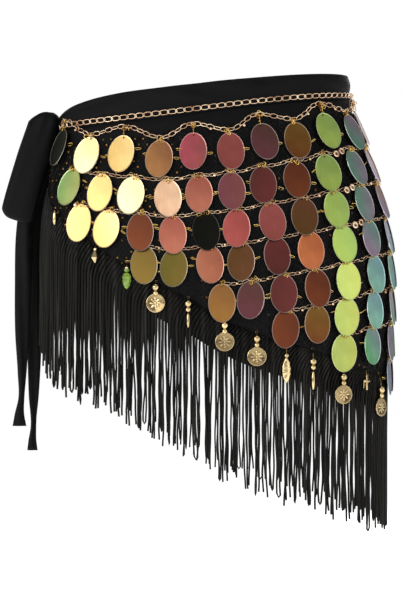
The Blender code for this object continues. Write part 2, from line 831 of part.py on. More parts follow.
def main():
    global parts
    for obj in list(bpy.data.objects):
        bpy.data.objects.remove(obj)
    parts = bpy.data.collections.new("hip_scarf")
    bpy.context.scene.collection.children.link(parts)
    build_waistband()
    build_net_panel()
    build_fringe("fringe_front", 1)
    build_fringe("fringe_back", -1)
    build_main_chain()
    for number, row in enumerate(DISC_ROWS):
        build_disc_row(number, row)
    for charm in CHARMS:
        build_charm(charm, 1, f"{charm.name}_front")
        build_charm(charm, -1, f"{charm.name}_back")
    build_knot()
    build_bow_loop()
    build_tail("tail_short", TAIL_SHORT)
    build_tail("tail_long", TAIL_LONG)


main()
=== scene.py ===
"""Dresses a belly dance hip scarf: jersey tie, crochet net, fringe, chains, mirror discs, charms.

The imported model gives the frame: +Z is up, the front is -Y, the scarf's point is at +X and its
knot at -X.  A place on the hips is given as in the part: by its share of the way round, 0 at
the point, +1 at the knot by the front and -1 at the knot by the back, and by its height.
All lengths are in metres.
"""

import logging
import math
import random
from dataclasses import dataclass, field
from enum import Enum
from functools import cached_property
from typing import Any, Callable, Sequence

import bmesh
import bpy
import numpy as np
from mathutils import Matrix, Vector


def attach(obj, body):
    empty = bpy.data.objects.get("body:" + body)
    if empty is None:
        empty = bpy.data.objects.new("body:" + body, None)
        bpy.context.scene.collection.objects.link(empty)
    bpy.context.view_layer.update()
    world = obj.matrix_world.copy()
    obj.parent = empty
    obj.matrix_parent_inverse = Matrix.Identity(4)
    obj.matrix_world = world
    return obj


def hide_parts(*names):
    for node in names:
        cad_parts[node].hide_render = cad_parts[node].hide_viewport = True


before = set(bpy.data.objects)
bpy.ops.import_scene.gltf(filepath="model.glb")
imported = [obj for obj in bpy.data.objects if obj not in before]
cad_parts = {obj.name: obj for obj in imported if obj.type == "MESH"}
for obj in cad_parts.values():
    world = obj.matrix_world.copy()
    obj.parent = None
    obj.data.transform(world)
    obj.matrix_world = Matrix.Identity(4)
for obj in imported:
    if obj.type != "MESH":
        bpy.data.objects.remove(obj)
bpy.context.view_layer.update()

LOG = logging.getLogger("hip_scarf")
BODY = "root"

# Where the seeded draws start; a row of discs adds its own number to the last three.
SEQUIN_SEED = 31
DISC_SEED = 100
CHAIN_SEED = 200
HOOK_SEED = 300

Colour = tuple[float, float, float]
Surface = Callable[[float, float], Vector]
Route = list[Vector]
Shape = bmesh.types.BMesh
Mesh = bpy.types.Mesh
Piece = bpy.types.Object
Node = bpy.types.Node
Socket = bpy.types.NodeSocket


# ---- the hips and the scarf's cut -------------------------------------------------------------


@dataclass(frozen=True)
class Table:
    """A smooth curve through a short table of stations and values."""

    rows: tuple[tuple[float, float], ...]

    @cached_property
    def columns(self) -> tuple[np.ndarray, np.ndarray, np.ndarray]:
        """The stations in order, their values and the curve's slope at each."""
        stations, values = np.array(sorted(self.rows)).T
        return stations, values, np.gradient(values, stations)

    def read(self, at: float) -> float:
        """Reads the curve.

        Args:
            at: The station; one outside the table reads as the nearest end.

        Returns:
            The value there.
        """
        stations, values, slopes = self.columns
        i = int(np.clip(np.searchsorted(stations, at) - 1, 0, len(stations) - 2))
        gap = stations[i + 1] - stations[i]
        u = min(max((at - stations[i]) / gap, 0.0), 1.0)
        start = (2 * u**3 - 3 * u**2 + 1) * values[i] + (u**3 - 2 * u**2 + u) * gap * slopes[i]
        end = (3 * u**2 - 2 * u**3) * values[i + 1] + (u**3 - u**2) * gap * slopes[i + 1]
        return float(start + end)


@dataclass(frozen=True)
class HipForm:
    """The empty rounded form that every piece lies on: level cuts of one squared oval."""

    half_widths: Table = Table(
        (
            (-0.460, 0.180), (-0.292, 0.180), (-0.265, 0.181), (-0.231, 0.182), (-0.193, 0.182),
            (-0.152, 0.181), (-0.114, 0.177), (-0.078, 0.170), (-0.042, 0.161), (-0.008, 0.152),
            (0.040, 0.148),
        )
    )
    shifts: Table = Table(
        (
            (-0.460, 0.0025), (-0.292, 0.0025), (-0.265, 0.0035), (-0.231, 0.0045), (-0.193, 0.0050),
            (-0.152, 0.0045), (-0.114, 0.0030), (-0.078, 0.0010), (-0.042, -0.0015), (-0.008, -0.0040),
            (0.040, -0.0060),
        )
    )
    depth_share: float = 0.65
    squareness: float = 2.6
    flute_depth: float = 0.0015
    flutes_round: int = 20
    flutes_grow_over: float = 0.25
    flutes_start: float = -0.008

    def level_cut(self, angle: float) -> tuple[float, float]:
        """The point at an angle of the cut whose half width is 1."""
        power = 2 / self.squareness
        x = math.copysign(abs(math.cos(angle)) ** power, math.cos(angle))
        return x, self.depth_share * abs(math.sin(angle)) ** power

    @cached_property
    def arcs(self) -> tuple[np.ndarray, np.ndarray, float]:
        """Angles of the cut, the share of its half girth at each, and its half girth."""
        angles = np.linspace(0, math.pi, 721)
        points = np.array([self.level_cut(angle) for angle in angles])
        steps = np.linalg.norm(np.diff(points, axis=0), axis=1)
        lengths = np.concatenate([[0], np.cumsum(steps)])
        return angles, lengths / lengths[-1], float(lengths[-1])

    def half_girth(self, height: float) -> float:
        """Distance round from the scarf's point to the knot at one height."""
        return self.half_widths.read(height) * self.arcs[2]

    def flute(self, share: float, height: float) -> float:
        """How far the cloth's soft flutes stand out; they grow towards the hem."""
        down = (self.flutes_start - height) / self.flutes_grow_over
        wave = 0.5 + 0.5 * math.cos(self.flutes_round * math.pi * share)
        return self.flute_depth * min(max(down, 0.0), 1.0) * wave

    def place(self, share: float, height: float, out: float = 0.0, fluted: bool = True) -> Vector:
        """Finds a point over the hips.

        Args:
            share: Share of the way round from the point, positive in front.
            height: Height over the waistband's middle.
            out: Distance outward from the form.
            fluted: Whether the cloth's flutes are added.

        Returns:
            The point.
        """
        angles, shares, _ = self.arcs
        unit_x, unit_y = self.level_cut(float(np.interp(abs(share), shares, angles)))
        across = abs(unit_x) ** (self.squareness - 1)
        along = (unit_y / self.depth_share) ** (self.squareness - 1) / self.depth_share
        size = math.hypot(across, along)
        side = 1.0 if share < 0 else -1.0
        wide = self.half_widths.read(height)
        reach = out + (self.flute(share, height) if fluted else 0.0)
        x = self.shifts.read(height) + wide * unit_x + reach * math.copysign(across, unit_x) / size
        return Vector((x, side * (wide * unit_y + reach * along / size), height))

    def frame_on(self, share: float, height: float, out: float = 0.0) -> Matrix:
        """Finds the turned place of something that lies on the hips.

        Args:
            share: Share of the way round.
            height: Height over the waistband's middle.
            out: Distance outward from the form.

        Returns:
            A matrix whose X runs round towards the scarf's point from the front, whose Y runs
            up the cloth and whose Z points outward.
        """
        step = 0.004
        up = self.place(share, height + step, out) - self.place(share, height - step, out)
        ahead = self.place(share - step, height, out) - self.place(share + step, height, out)
        return turned_place(self.place(share, height, out), ahead, up)

    def widest_above(self, height: float, top: float) -> float:
        """The height, from one level up to another, at which the form is widest."""
        levels = np.linspace(height, top, 7)
        return float(max(levels, key=self.half_widths.read))


def turned_place(point: Vector, ahead: Vector, up: Vector) -> Matrix:
    """Makes a matrix from a point and two directions.

    Args:
        point: Where its origin goes.
        ahead: Roughly where its X axis points.
        up: Where its Y axis points.

    Returns:
        The matrix, with Z square to both.
    """
    up = up.normalized()
    outward = ahead.cross(up).normalized()
    matrix = Matrix((up.cross(outward), up, outward)).transposed().to_4x4()
    matrix.translation = point
    return matrix


@dataclass(frozen=True)
class ScarfCut:
    """Where the scarf's edges run on the hips."""

    form: HipForm = HipForm()
    chain_middle: float = -0.008
    chain_tilt: float = 0.017
    band_below_chain: float = 0.004
    above_chain: Table = Table(
        (
            (0.00, 0.020), (0.30, 0.023), (0.60, 0.026), (0.75, 0.025), (0.84, 0.020), (0.95, 0.012),
            (1.00, 0.011),
        )
    )
    hem: Table = Table(
        (
            (0.000, -0.292), (0.120, -0.283), (0.290, -0.258), (0.480, -0.226), (0.560, -0.203),
            (0.650, -0.180), (0.720, -0.158), (0.810, -0.130), (0.920, -0.085), (0.965, -0.052),
        )
    )
    fringe: Table = Table(
        (
            (0.000, 0.142), (0.120, 0.154), (0.290, 0.158), (0.480, 0.160), (0.560, 0.162),
            (0.650, 0.158), (0.720, 0.158), (0.810, 0.170), (0.920, 0.180), (0.965, 0.184),
        )
    )
    panel_edge: float = 0.9615

    def chain_height(self, share: float) -> float:
        """Height of the main chain."""
        return self.chain_middle + self.chain_tilt * math.cos(math.pi * share)

    def panel_top(self, share: float) -> float:
        """Height at which the net panel meets the band."""
        return self.chain_height(share) - self.band_below_chain


# ---- node work ----------------------------------------------------------------------------------


class Bench:
    """Adds nodes to one tree and joins them."""

    def __init__(self, tree: bpy.types.NodeTree) -> None:
        """Keeps the tree that is worked on."""
        self.tree = tree

    def add(self, kind: str, inputs: dict[Any, Any] | None = None, **settings: Any) -> Node:
        """Adds one node.

        Args:
            kind: The node's type, without its leading "ShaderNode".
            inputs: By socket name or number, a value or the output socket that feeds it.
            **settings: The node's own properties.

        Returns:
            The node.
        """
        node = self.tree.nodes.new("ShaderNode" + kind)
        for key, value in settings.items():
            setattr(node, key, value)
        self.feed_all(node, inputs or {})
        return node

    def feed_all(self, node: Node, inputs: dict[Any, Any]) -> None:
        """Feeds several of a node's inputs, by name or number."""
        for key, value in inputs.items():
            self.feed(node.inputs[key], value)

    def feed(self, socket: Socket, value: Any) -> None:
        """Links a socket to an output, or sets its value."""
        if isinstance(value, Socket):
            self.tree.links.new(value, socket)
        else:
            socket.default_value = value

    def sum_up(self, operation: str, first: Any, second: Any = 0.5, third: Any = 0.5) -> Socket:
        """One step of arithmetic; returns its output."""
        node = self.add("Math", {0: first, 1: second, 2: third}, operation=operation)
        return node.outputs[0]

    def bump(self, height: Any, strength: float, distance: float) -> Socket:
        """A Bump node of a given strength and depth; returns its normal."""
        inputs = {"Height": height, "Strength": strength, "Distance": distance}
        return self.add("Bump", inputs).outputs["Normal"]

    def noise(self, place: Any, scale: Any, detail: float) -> Socket:
        """A noise over a place; returns its value."""
        inputs = {"Vector": place, "Scale": scale, "Detail": detail}
        return self.add("TexNoise", inputs).outputs[0]


class Effect(Enum):
    """The shared surface effects, each a node group that is built once."""

    KNIT = "knit_stitches"
    TWIST = "twisted_ply"
    BRUSHED = "brushed_grain"
    UNEVEN = "uneven_tone"

    def tree(self) -> bpy.types.NodeTree:
        """The effect's node group, built the first time that it is asked for."""
        made = bpy.data.node_groups.get(self.value)
        if made is None:
            made = bpy.data.node_groups.new(self.value, "ShaderNodeTree")
            builder = {
                Effect.KNIT: build_knit,
                Effect.TWIST: build_twist,
                Effect.BRUSHED: build_brushed,
                Effect.UNEVEN: build_uneven,
            }[self]
            builder(made)
        return made

    def on(self, bench: Bench, **inputs: Any) -> Node:
        """Places the effect in a material.

        Args:
            bench: The material's bench.
            **inputs: A value or a socket for each input of the group that is set.

        Returns:
            The group's node.
        """
        return bench.add("Group", inputs, node_tree=self.tree())


def open_group(
    tree: bpy.types.NodeTree, setting: str, usual: float, results: tuple[str, str]
) -> tuple[Bench, Socket, Socket, Any]:
    """Gives a group its named sockets: a vector and one setting in, and two floats out.

    Args:
        tree: The group.
        setting: The setting's name.
        usual: The setting's default.
        results: Names of the two outputs.

    Returns:
        The group's bench, its vector, its setting, and the inputs of the node for its results.
    """
    tree.interface.new_socket(name="Vector", in_out="INPUT", socket_type="NodeSocketVector")
    number = tree.interface.new_socket(
        name=setting, in_out="INPUT", socket_type="NodeSocketFloat"
    )
    number.default_value = usual
    for name in results:
        tree.interface.new_socket(name=name, in_out="OUTPUT", socket_type="NodeSocketFloat")
    given, made = tree.nodes.new("NodeGroupInput"), tree.nodes.new("NodeGroupOutput")
    return Bench(tree), given.outputs["Vector"], given.outputs[setting], made.inputs


def build_knit(tree: bpy.types.NodeTree) -> None:
    """Rows of small knit stitches; Pitch is how many there are to a metre."""
    bench, place, pitch, made = open_group(tree, "Pitch", 900.0, ("Height", "Tone"))
    scaled = bench.add("VectorMath", {0: place, "Scale": pitch}, operation="SCALE")
    axes = bench.add("SeparateXYZ", {0: scaled.outputs[0]}).outputs
    columns = bench.sum_up("SINE", bench.sum_up("MULTIPLY", axes[0], math.tau))
    rows = bench.sum_up("SINE", bench.sum_up("MULTIPLY", axes[1], math.tau * 0.7))
    across, along = bench.sum_up("ABSOLUTE", columns), bench.sum_up("ABSOLUTE", rows)
    bench.feed(made["Height"], bench.sum_up("MULTIPLY", across, along))
    bench.feed(made["Tone"], bench.noise(place, 60.0, 4.0))


def build_twist(tree: bpy.types.NodeTree) -> None:
    """The slanting ridges of a plied cord that hangs; Pitch is how many there are to a metre."""
    bench, place, pitch, made = open_group(tree, "Pitch", 400.0, ("Height", "Tone"))
    axes = bench.add("SeparateXYZ", {0: place}).outputs
    slant = bench.sum_up("ADD", axes[2], bench.sum_up("ADD", axes[0], axes[1]))
    turns = bench.sum_up("MULTIPLY", bench.sum_up("MULTIPLY", slant, pitch), math.pi)
    ridge = bench.sum_up("ABSOLUTE", bench.sum_up("SINE", turns))
    fibre = bench.noise(place, 900.0, 3.0)
    bench.feed(made["Height"], bench.sum_up("MULTIPLY_ADD", fibre, 0.4, ridge))
    # The ridge itself is the tone; a cord's finish paints the crests lighter as a highlight.
    bench.feed(made["Tone"], ridge)


def build_brushed(tree: bpy.types.NodeTree) -> None:
    """Fine scratches along the second axis of a flat piece's own map."""
    bench, place, fineness, made = open_group(tree, "Fineness", 900.0, ("Height", "Tone"))
    squeeze = {0: place, 1: (1.0, 0.045, 1.0)}
    squeezed = bench.add("VectorMath", squeeze, operation="MULTIPLY").outputs[0]
    grain = bench.noise(squeezed, fineness, 3.0)
    cloud = bench.sum_up("MULTIPLY", bench.noise(place, 55.0, 2.0), 0.5)
    bench.feed(made["Height"], grain)
    bench.feed(made["Tone"], bench.sum_up("MULTIPLY_ADD", grain, 0.5, cloud))


def build_uneven(tree: bpy.types.NodeTree) -> None:
    """A slow drift of tone and a fine grain over it, as handling leaves on metal and cloth."""
    bench, place, scale, made = open_group(tree, "Scale", 90.0, ("Tone", "Grain"))
    bench.feed(made["Tone"], bench.noise(place, scale, 4.0))
    fine = bench.sum_up("MULTIPLY", scale, 9.0)
    bench.feed(made["Grain"], bench.noise(place, fine, 2.0))


# ---- finishes -----------------------------------------------------------------------------------


def linear(red: int, green: int, blue: int) -> Colour:
    """A screen colour, 0 to 255 a channel, as linear light."""
    shares = (value / 255 for value in (red, green, blue))
    return tuple(s / 12.92 if s <= 0.04045 else ((s + 0.055) / 1.055) ** 2.4 for s in shares)


def between(first: Sequence[float], second: Sequence[float], share: float) -> Colour:
    """The colour at a share of the way from one to another."""
    return tuple(a + (b - a) * share for a, b in zip(first, second))


def drifting(*channels: int) -> tuple[Colour, Colour]:
    """Two screen colours, three channels each: a film's own and the one that it drifts to, which
    paints a sheen across each disc.
    """
    return linear(*channels[:3]), linear(*channels[3:])


@dataclass(frozen=True)
class Finish:
    """A material of the scarf, dark to light; each kind dresses its own shader."""

    name: str
    slot: str
    dark: Colour = (0.0, 0.0, 0.0)
    light: Colour = (1.0, 1.0, 1.0)

    def material(self) -> bpy.types.Material:
        """The finish's material, made the first time that it is asked for."""
        made = bpy.data.materials.get(self.name)
        if made is None:
            made = bpy.data.materials.new(self.name)
            made.use_nodes = True
            self.dress(Bench(made.node_tree), made.node_tree.nodes["Principled BSDF"])
        return made

    def dress(self, bench: Bench, shader: Node) -> None:
        """Sets up the shader; each kind of finish does this in its own way."""
        raise NotImplementedError

    def shaded(self, bench: Bench, tone: Any) -> Socket:
        """The colour between the dark and the light one at a tone; returns its output."""
        inputs = {"Factor": tone, 6: (*self.dark, 1.0), 7: (*self.light, 1.0)}
        return bench.add("Mix", inputs, data_type="RGBA").outputs[2]

    def uneven(self, bench: Bench, scale: float) -> Node:
        """The slow drift of tone over the whole piece."""
        place = bench.add("TexCoord").outputs["Object"]
        return Effect.UNEVEN.on(bench, Vector=place, Scale=scale)

    def spread(self, bench: Bench, value: Any, low: float, high: float) -> Socket:
        """A value from the middle of a noise, 0.3 to 0.7, spread from low to high."""
        inputs = {"Value": value, "From Min": 0.3, "From Max": 0.7, "To Min": low, "To Max": high}
        return bench.add("MapRange", inputs).outputs[0]


@dataclass(frozen=True)
class JerseyFinish(Finish):
    """Matt stretch jersey with a soft nap."""

    dark: Colour = linear(3, 3, 4)
    light: Colour = linear(9, 9, 10)
    stitches: float = 1100.0
    sheen: float = 0.010

    def dress(self, bench: Bench, shader: Node) -> None:
        """Knit stitches from the cloth's own map, and sheen for the nap."""
        cloth = bench.add("UVMap", uv_map="cloth").outputs[0]
        knit = Effect.KNIT.on(bench, Vector=cloth, Pitch=self.stitches)
        tone = self.spread(bench, knit.outputs["Tone"], 0.0, 1.0)
        look = {
            "Base Color": self.shaded(bench, tone),
            "Roughness": self.spread(bench, knit.outputs["Tone"], 0.44, 0.56),
            "Normal": bench.bump(knit.outputs["Height"], 0.35, 0.0003),
            "Specular IOR Level": 0.09,
            "Sheen Weight": self.sheen,
            "Sheen Roughness": 0.45,
            "Sheen Tint": (0.55, 0.56, 0.62, 1.0),
        }
        bench.feed_all(shader, look)


@dataclass(frozen=True)
class CordFinish(Finish):
    """Twisted black cord with painted highlights: lighter along the crests of its ridges, and lighter
    and glossier on some strands than on others.
    """

    dark: Colour = linear(2, 2, 2)
    light: Colour = linear(50, 48, 43)
    ridges: float = 900.0
    gloss: float = 0.28
    strand_scale: float = 260.0
    strand_stretch: float = 0.03

    def dress(self, bench: Bench, shader: Node) -> None:
        """Slanting ridges with a painted highlight along their crests, under a painted sheen that runs
        down each strand.
        """
        place = bench.add("TexCoord").outputs["Object"]
        twist = Effect.TWIST.on(bench, Vector=place, Pitch=self.ridges)
        stretch = (1.0, 1.0, self.strand_stretch)
        drawn = bench.add("VectorMath", {0: place, 1: stretch}, operation="MULTIPLY").outputs[0]
        strand = Effect.UNEVEN.on(bench, Vector=drawn, Scale=self.strand_scale)
        # Painted sheen: some strands are lit lighter down their length, and are made glossier too.
        lit = bench.sum_up("POWER", self.spread(bench, strand.outputs["Tone"], 0.0, 1.0), 2.0)
        tone = bench.sum_up("MULTIPLY", twist.outputs["Tone"], lit)
        look = {
            "Base Color": self.shaded(bench, tone),
            "Roughness": bench.sum_up("MULTIPLY_ADD", lit, -0.25, self.gloss + 0.25),
            "Normal": bench.bump(twist.outputs["Height"], 0.45, 0.0004),
            "Specular IOR Level": 0.10,
        }
        bench.feed_all(shader, look)


@dataclass(frozen=True)
class GoldFinish(Finish):
    """Plated light gold, with a drift of tone and duller patches where it is handled."""

    dark: Colour = linear(178, 136, 104)
    light: Colour = linear(250, 224, 190)
    drift: float = 70.0
    least: float = 0.0
    polish: tuple[float, float] = (0.12, 0.28)

    def dress(self, bench: Bench, shader: Node) -> None:
        """Metal whose colour and polish drift over the piece, darker where its vertices carry a
        darkening mark; on a coin's sunken field that mark is painted shade.
        """
        uneven = self.uneven(bench, self.drift)
        tone = self.spread(bench, uneven.outputs["Tone"], self.least, 1.0)
        darkening = bench.add("Attribute", attribute_name="darkening").outputs["Fac"]
        tone = bench.sum_up("MULTIPLY", tone, bench.sum_up("SUBTRACT", 1.0, darkening))
        look = {
            "Base Color": self.shaded(bench, tone),
            "Roughness": self.spread(bench, uneven.outputs["Grain"], *self.polish),
            "Normal": bench.bump(uneven.outputs["Grain"], 0.15, 0.0003),
            "Metallic": 1.0,
        }
        bench.feed_all(shader, look)


@dataclass(frozen=True)
class MirrorFilmFinish(Finish):
    """Satin mirror film: each disc has its own colour, with fine scratches down it."""

    def dress(self, bench: Bench, shader: Node) -> None:
        """The disc's own colour under a brushed grain."""
        film = bench.add("Attribute", attribute_name="film").outputs["Color"]
        flat = bench.add("UVMap", uv_map="disc").outputs[0]
        brushed = Effect.BRUSHED.on(bench, Vector=flat, Fineness=1400.0)
        tone = self.spread(bench, brushed.outputs["Tone"], 0.78, 1.06)
        worn = bench.add("VectorMath", {0: film, "Scale": tone}, operation="SCALE")
        look = {
            "Base Color": worn.outputs[0],
            "Roughness": self.spread(bench, brushed.outputs["Tone"], 0.30, 0.42),
            "Normal": bench.bump(brushed.outputs["Height"], 0.12, 0.0002),
            "Metallic": 0.88,
            "Specular Tint": (0.55, 0.55, 0.55, 1.0),
        }
        bench.feed_all(shader, look)


@dataclass(frozen=True)
class CrystalFinish(Finish):
    """Cut green glass."""

    dark: Colour = linear(48, 84, 12)
    light: Colour = linear(168, 204, 74)

    def dress(self, bench: Bench, shader: Node) -> None:
        """Clear green glass with a cloud of lighter colour in it."""
        uneven = self.uneven(bench, 140.0)
        tone = self.spread(bench, uneven.outputs["Tone"], 0.1, 1.0)
        look = {
            "Base Color": self.shaded(bench, tone),
            "Roughness": self.spread(bench, uneven.outputs["Grain"], 0.03, 0.09),
            "Transmission Weight": 0.45,
            "IOR": 1.56,
        }
        bench.feed_all(shader, look)


@dataclass(frozen=True)
class PaperFinish(Finish):
    """The studio's pale floor."""

    dark: Colour = linear(246, 246, 246)
    light: Colour = linear(250, 250, 250)
    glow: float = 0.8

    def dress(self, bench: Bench, shader: Node) -> None:
        """White paper with a faint drift of tone."""
        uneven = self.uneven(bench, 3.0)
        look = {
            "Base Color": self.shaded(bench, self.spread(bench, uneven.outputs["Tone"], 0.0, 1.0)),
            "Roughness": 0.9,
            "Emission Color": (1.0, 1.0, 1.0, 1.0),
            "Emission Strength": self.glow,
        }
        bench.feed_all(shader, look)


JERSEY = JerseyFinish("black_jersey", "jersey")
LINING = JerseyFinish("black_lining", "net", linear(2, 2, 3), linear(6, 6, 7), 700.0, 0.006)
NET_CORD = CordFinish("crochet_net_cord", "net", linear(3, 3, 3), linear(52, 50, 45), 1200.0, 0.30)
FRINGE_CORD = CordFinish("fringe_cord", "fringe")
GOLD = GoldFinish("light_gold", "gold")
WORN_GOLD = GoldFinish(
    "worn_gold", "gold", linear(84, 64, 36), linear(226, 202, 152), 45.0, 0.35, (0.10, 0.22)
)
DEEP_GOLD = GoldFinish(
    "deep_gold", "gold", linear(124, 84, 30), linear(246, 208, 120), 110.0, 0.2, (0.08, 0.20)
)
MIRROR_FILM = MirrorFilmFinish("mirror_film", "mirror_disc")
GREEN_GLASS = CrystalFinish("green_glass", "green_crystal")
PAPER = PaperFinish("studio_paper", "")


# ---- making pieces ------------------------------------------------------------------------------


def turn_by(degrees: float, axis: str) -> Matrix:
    """A turn about one axis."""
    return Matrix.Rotation(math.radians(degrees), 4, axis)


def slide(along: float) -> Matrix:
    """A shift along Y, the way that a hung piece runs."""
    return Matrix.Translation((0, along, 0))


def put(name: str, data: bpy.types.ID) -> Piece:
    """Puts an object with its data in the scene."""
    piece = bpy.data.objects.new(name, data)
    bpy.context.scene.collection.objects.link(piece)
    return piece


def as_mesh(name: str, shape: Shape) -> Mesh:
    """A shape as a mesh; the shape itself is used up."""
    mesh = bpy.data.meshes.new(name)
    shape.to_mesh(mesh)
    shape.free()
    return mesh


def discard(*meshes: Mesh) -> None:
    """Removes meshes that are used up."""
    for mesh in meshes:
        bpy.data.meshes.remove(mesh)


def cloth_grid(columns: int, rows: int, surface: Surface, size: tuple[float, float]) -> Shape:
    """Lays a grid of cloth on a surface.

    Args:
        columns: How many squares it has across.
        rows: How many it has up.
        surface: Gives the point for a share across and a share up.
        size: Width and length of the flat cloth, for its map.

    Returns:
        The cloth, with a map in metres.
    """
    cloth = bmesh.new()
    chart = cloth.loops.layers.uv.new("cloth")
    bmesh.ops.create_grid(cloth, x_segments=columns, y_segments=rows, size=1.0)
    for vertex in cloth.verts:
        across, up = (vertex.co.x + 1) / 2, (vertex.co.y + 1) / 2
        for loop in vertex.link_loops:
            loop[chart].uv = (across * size[0], up * size[1])
        vertex.co = surface(across, up)
    return cloth


def flat_area(cloth: Shape) -> float:
    """The area of a cloth before it is given its thickness."""
    return sum(face.calc_area() for face in cloth.faces)


def stamp(target: Shape, tool: Mesh, matrix: Matrix) -> list[bmesh.types.BMVert]:
    """Adds a copy of a small shape to a larger one.

    Args:
        target: What it is added to.
        tool: The small shape.
        matrix: Where the copy goes.

    Returns:
        The copy's vertices, in the tool's order.
    """
    before = len(target.verts)
    target.from_mesh(tool)
    target.verts.ensure_lookup_table()
    added = target.verts[before:]
    bmesh.ops.transform(target, matrix=matrix, verts=added)
    return added


def tool_mesh(name: str, shape: Shape) -> Mesh:
    """A small shape kept as a mesh for stamping, with its faces outward."""
    bmesh.ops.recalc_face_normals(shape, faces=shape.faces)
    return as_mesh(name, shape)


@dataclass
class Threads:
    """Threads of one thickness, each swept along its own route and joined in one mesh."""

    radius: float
    roundness: int = 0
    turn_length: float = 0.0
    routes: list[Route] = field(default_factory=list)
    swells: list[list[float]] = field(default_factory=list)

    def mesh(self, name: str) -> Mesh:
        """Sweeps the threads.

        Args:
            name: The mesh's name.

        Returns:
            One mesh of closed tubes, which turn about themselves once in turn_length.
        """
        curve = bpy.data.curves.new(name, "CURVE")
        curve.dimensions = "3D"
        curve.bevel_depth = self.radius
        curve.bevel_resolution = self.roundness
        curve.use_fill_caps = True
        for number, route in enumerate(self.routes):
            line = curve.splines.new("POLY")
            line.points.add(len(route) - 1)
            line.points.foreach_set("co", [value for point in route for value in (*point, 1.0)])
            if self.swells:
                line.points.foreach_set("radius", self.swells[number])
            if self.turn_length:
                runs = [0.0]
                for near, far in zip(route, route[1:]):
                    runs.append(runs[-1] + (far - near).length)
                line.points.foreach_set("tilt", [math.tau * run / self.turn_length for run in runs])
        holder = put(name, curve)
        bpy.context.view_layer.update()
        seen = holder.evaluated_get(bpy.context.evaluated_depsgraph_get())
        swept = bpy.data.meshes.new_from_object(seen)
        bpy.data.objects.remove(holder)
        bpy.data.curves.remove(curve)
        shape = bmesh.new()
        shape.from_mesh(swept)
        discard(swept)
        bmesh.ops.remove_doubles(shape, verts=shape.verts, dist=1e-6)
        return tool_mesh(name, shape)


def make_piece(
    name: str,
    shape: Shape | Mesh,
    finish: Finish,
    replaces: Sequence[str] = (),
    smooth: bool = True,
) -> Piece:
    """Makes a finished piece that rides on the scarf.

    Args:
        name: The piece's name.
        shape: Its mesh in place, or a bmesh that is used up.
        finish: What it is made of.
        replaces: The solids that it stands for.
        smooth: Whether its faces are shaded smooth.

    Returns:
        The piece's object, at the origin.
    """
    mesh = as_mesh(name, shape) if isinstance(shape, Shape) else shape
    mesh.materials.clear()
    mesh.materials.append(finish.material())
    mesh.polygons.foreach_set("use_smooth", [smooth] * len(mesh.polygons))
    piece = put(name, mesh)
    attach(piece, BODY)
    if replaces:
        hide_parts(*replaces)
    LOG.info("%s: %d faces", name, len(mesh.polygons))
    return piece


def thicken(piece: Piece, thickness: float, offset: float = 1.0) -> None:
    """Gives a cloth piece its wall."""
    wall = piece.modifiers.new("wall", "SOLIDIFY")
    wall.thickness = thickness
    wall.offset = offset
    wall.use_even_offset = True


def soften(piece: Piece) -> None:
    """Rounds a piece with one level of subdivision."""
    rounding = piece.modifiers.new("rounding", "SUBSURF")
    rounding.levels = rounding.render_levels = 1


# ---- cloth --------------------------------------------------------------------------------------


@dataclass
class Waistband:
    """The gathered jersey band: a closed ring whose folds draw in towards the knot."""

    cut: ScarfCut
    columns: int = 220
    rows: int = 16
    wall: float = 0.0011
    roll: float = 0.0014
    fold: float = 0.0014
    gather: float = 0.0018
    gather_from: float = 0.70
    chain_clear: float = 0.0035
    flat_height: float = 0.03
    seam: float = 0.0001

    def fold_out(self, share: float, up: float) -> float:
        """How far the band's soft folds stand out at a share round and a share up."""
        near_knot = max(abs(share) - self.gather_from, 0.0) / (1 - self.gather_from)
        drift = 0.5 * math.sin(2.3 * math.pi * share) + 0.3 * math.sin(5.1 * math.pi * share + 1)
        soft = math.sin(math.tau * (1.1 * up + drift))
        tight = math.sin(math.tau * (3.2 * up + 0.8 * near_knot + 0.4 * drift))
        edge = math.sin(math.pi * up) ** 0.5
        return edge * (self.fold * (0.5 + 0.5 * soft) + self.gather * near_knot * (0.5 + 0.5 * tight))

    def surface(self, across: float, up: float) -> Vector:
        """The band's inner face."""
        share = 1 - 2 * across
        bottom = self.cut.panel_top(share)
        tall = self.cut.above_chain.read(abs(share)) + self.cut.band_below_chain
        over_chain = bottom + up * tall - self.cut.chain_height(share) - self.chain_clear
        clear = min(max(over_chain / self.chain_clear, 0.0), 1.0)
        roll = self.roll * math.sin(math.pi * up) ** 2 * 0.6
        out = 0.0001 + clear * (roll + self.fold_out(share, up))
        return self.cut.form.place(share, bottom + up * tall, out, fluted=False)

    def build(self) -> Piece:
        girth = 2 * self.cut.form.half_girth(0.0)
        band = cloth_grid(self.columns, self.rows, self.surface, (girth, self.flat_height))
        bmesh.ops.remove_doubles(band, verts=band.verts, dist=self.seam)
        area = flat_area(band)
        piece = make_piece("waistband_cloth", band, JERSEY, ["waistband"])
        thicken(piece, self.wall)
        return piece


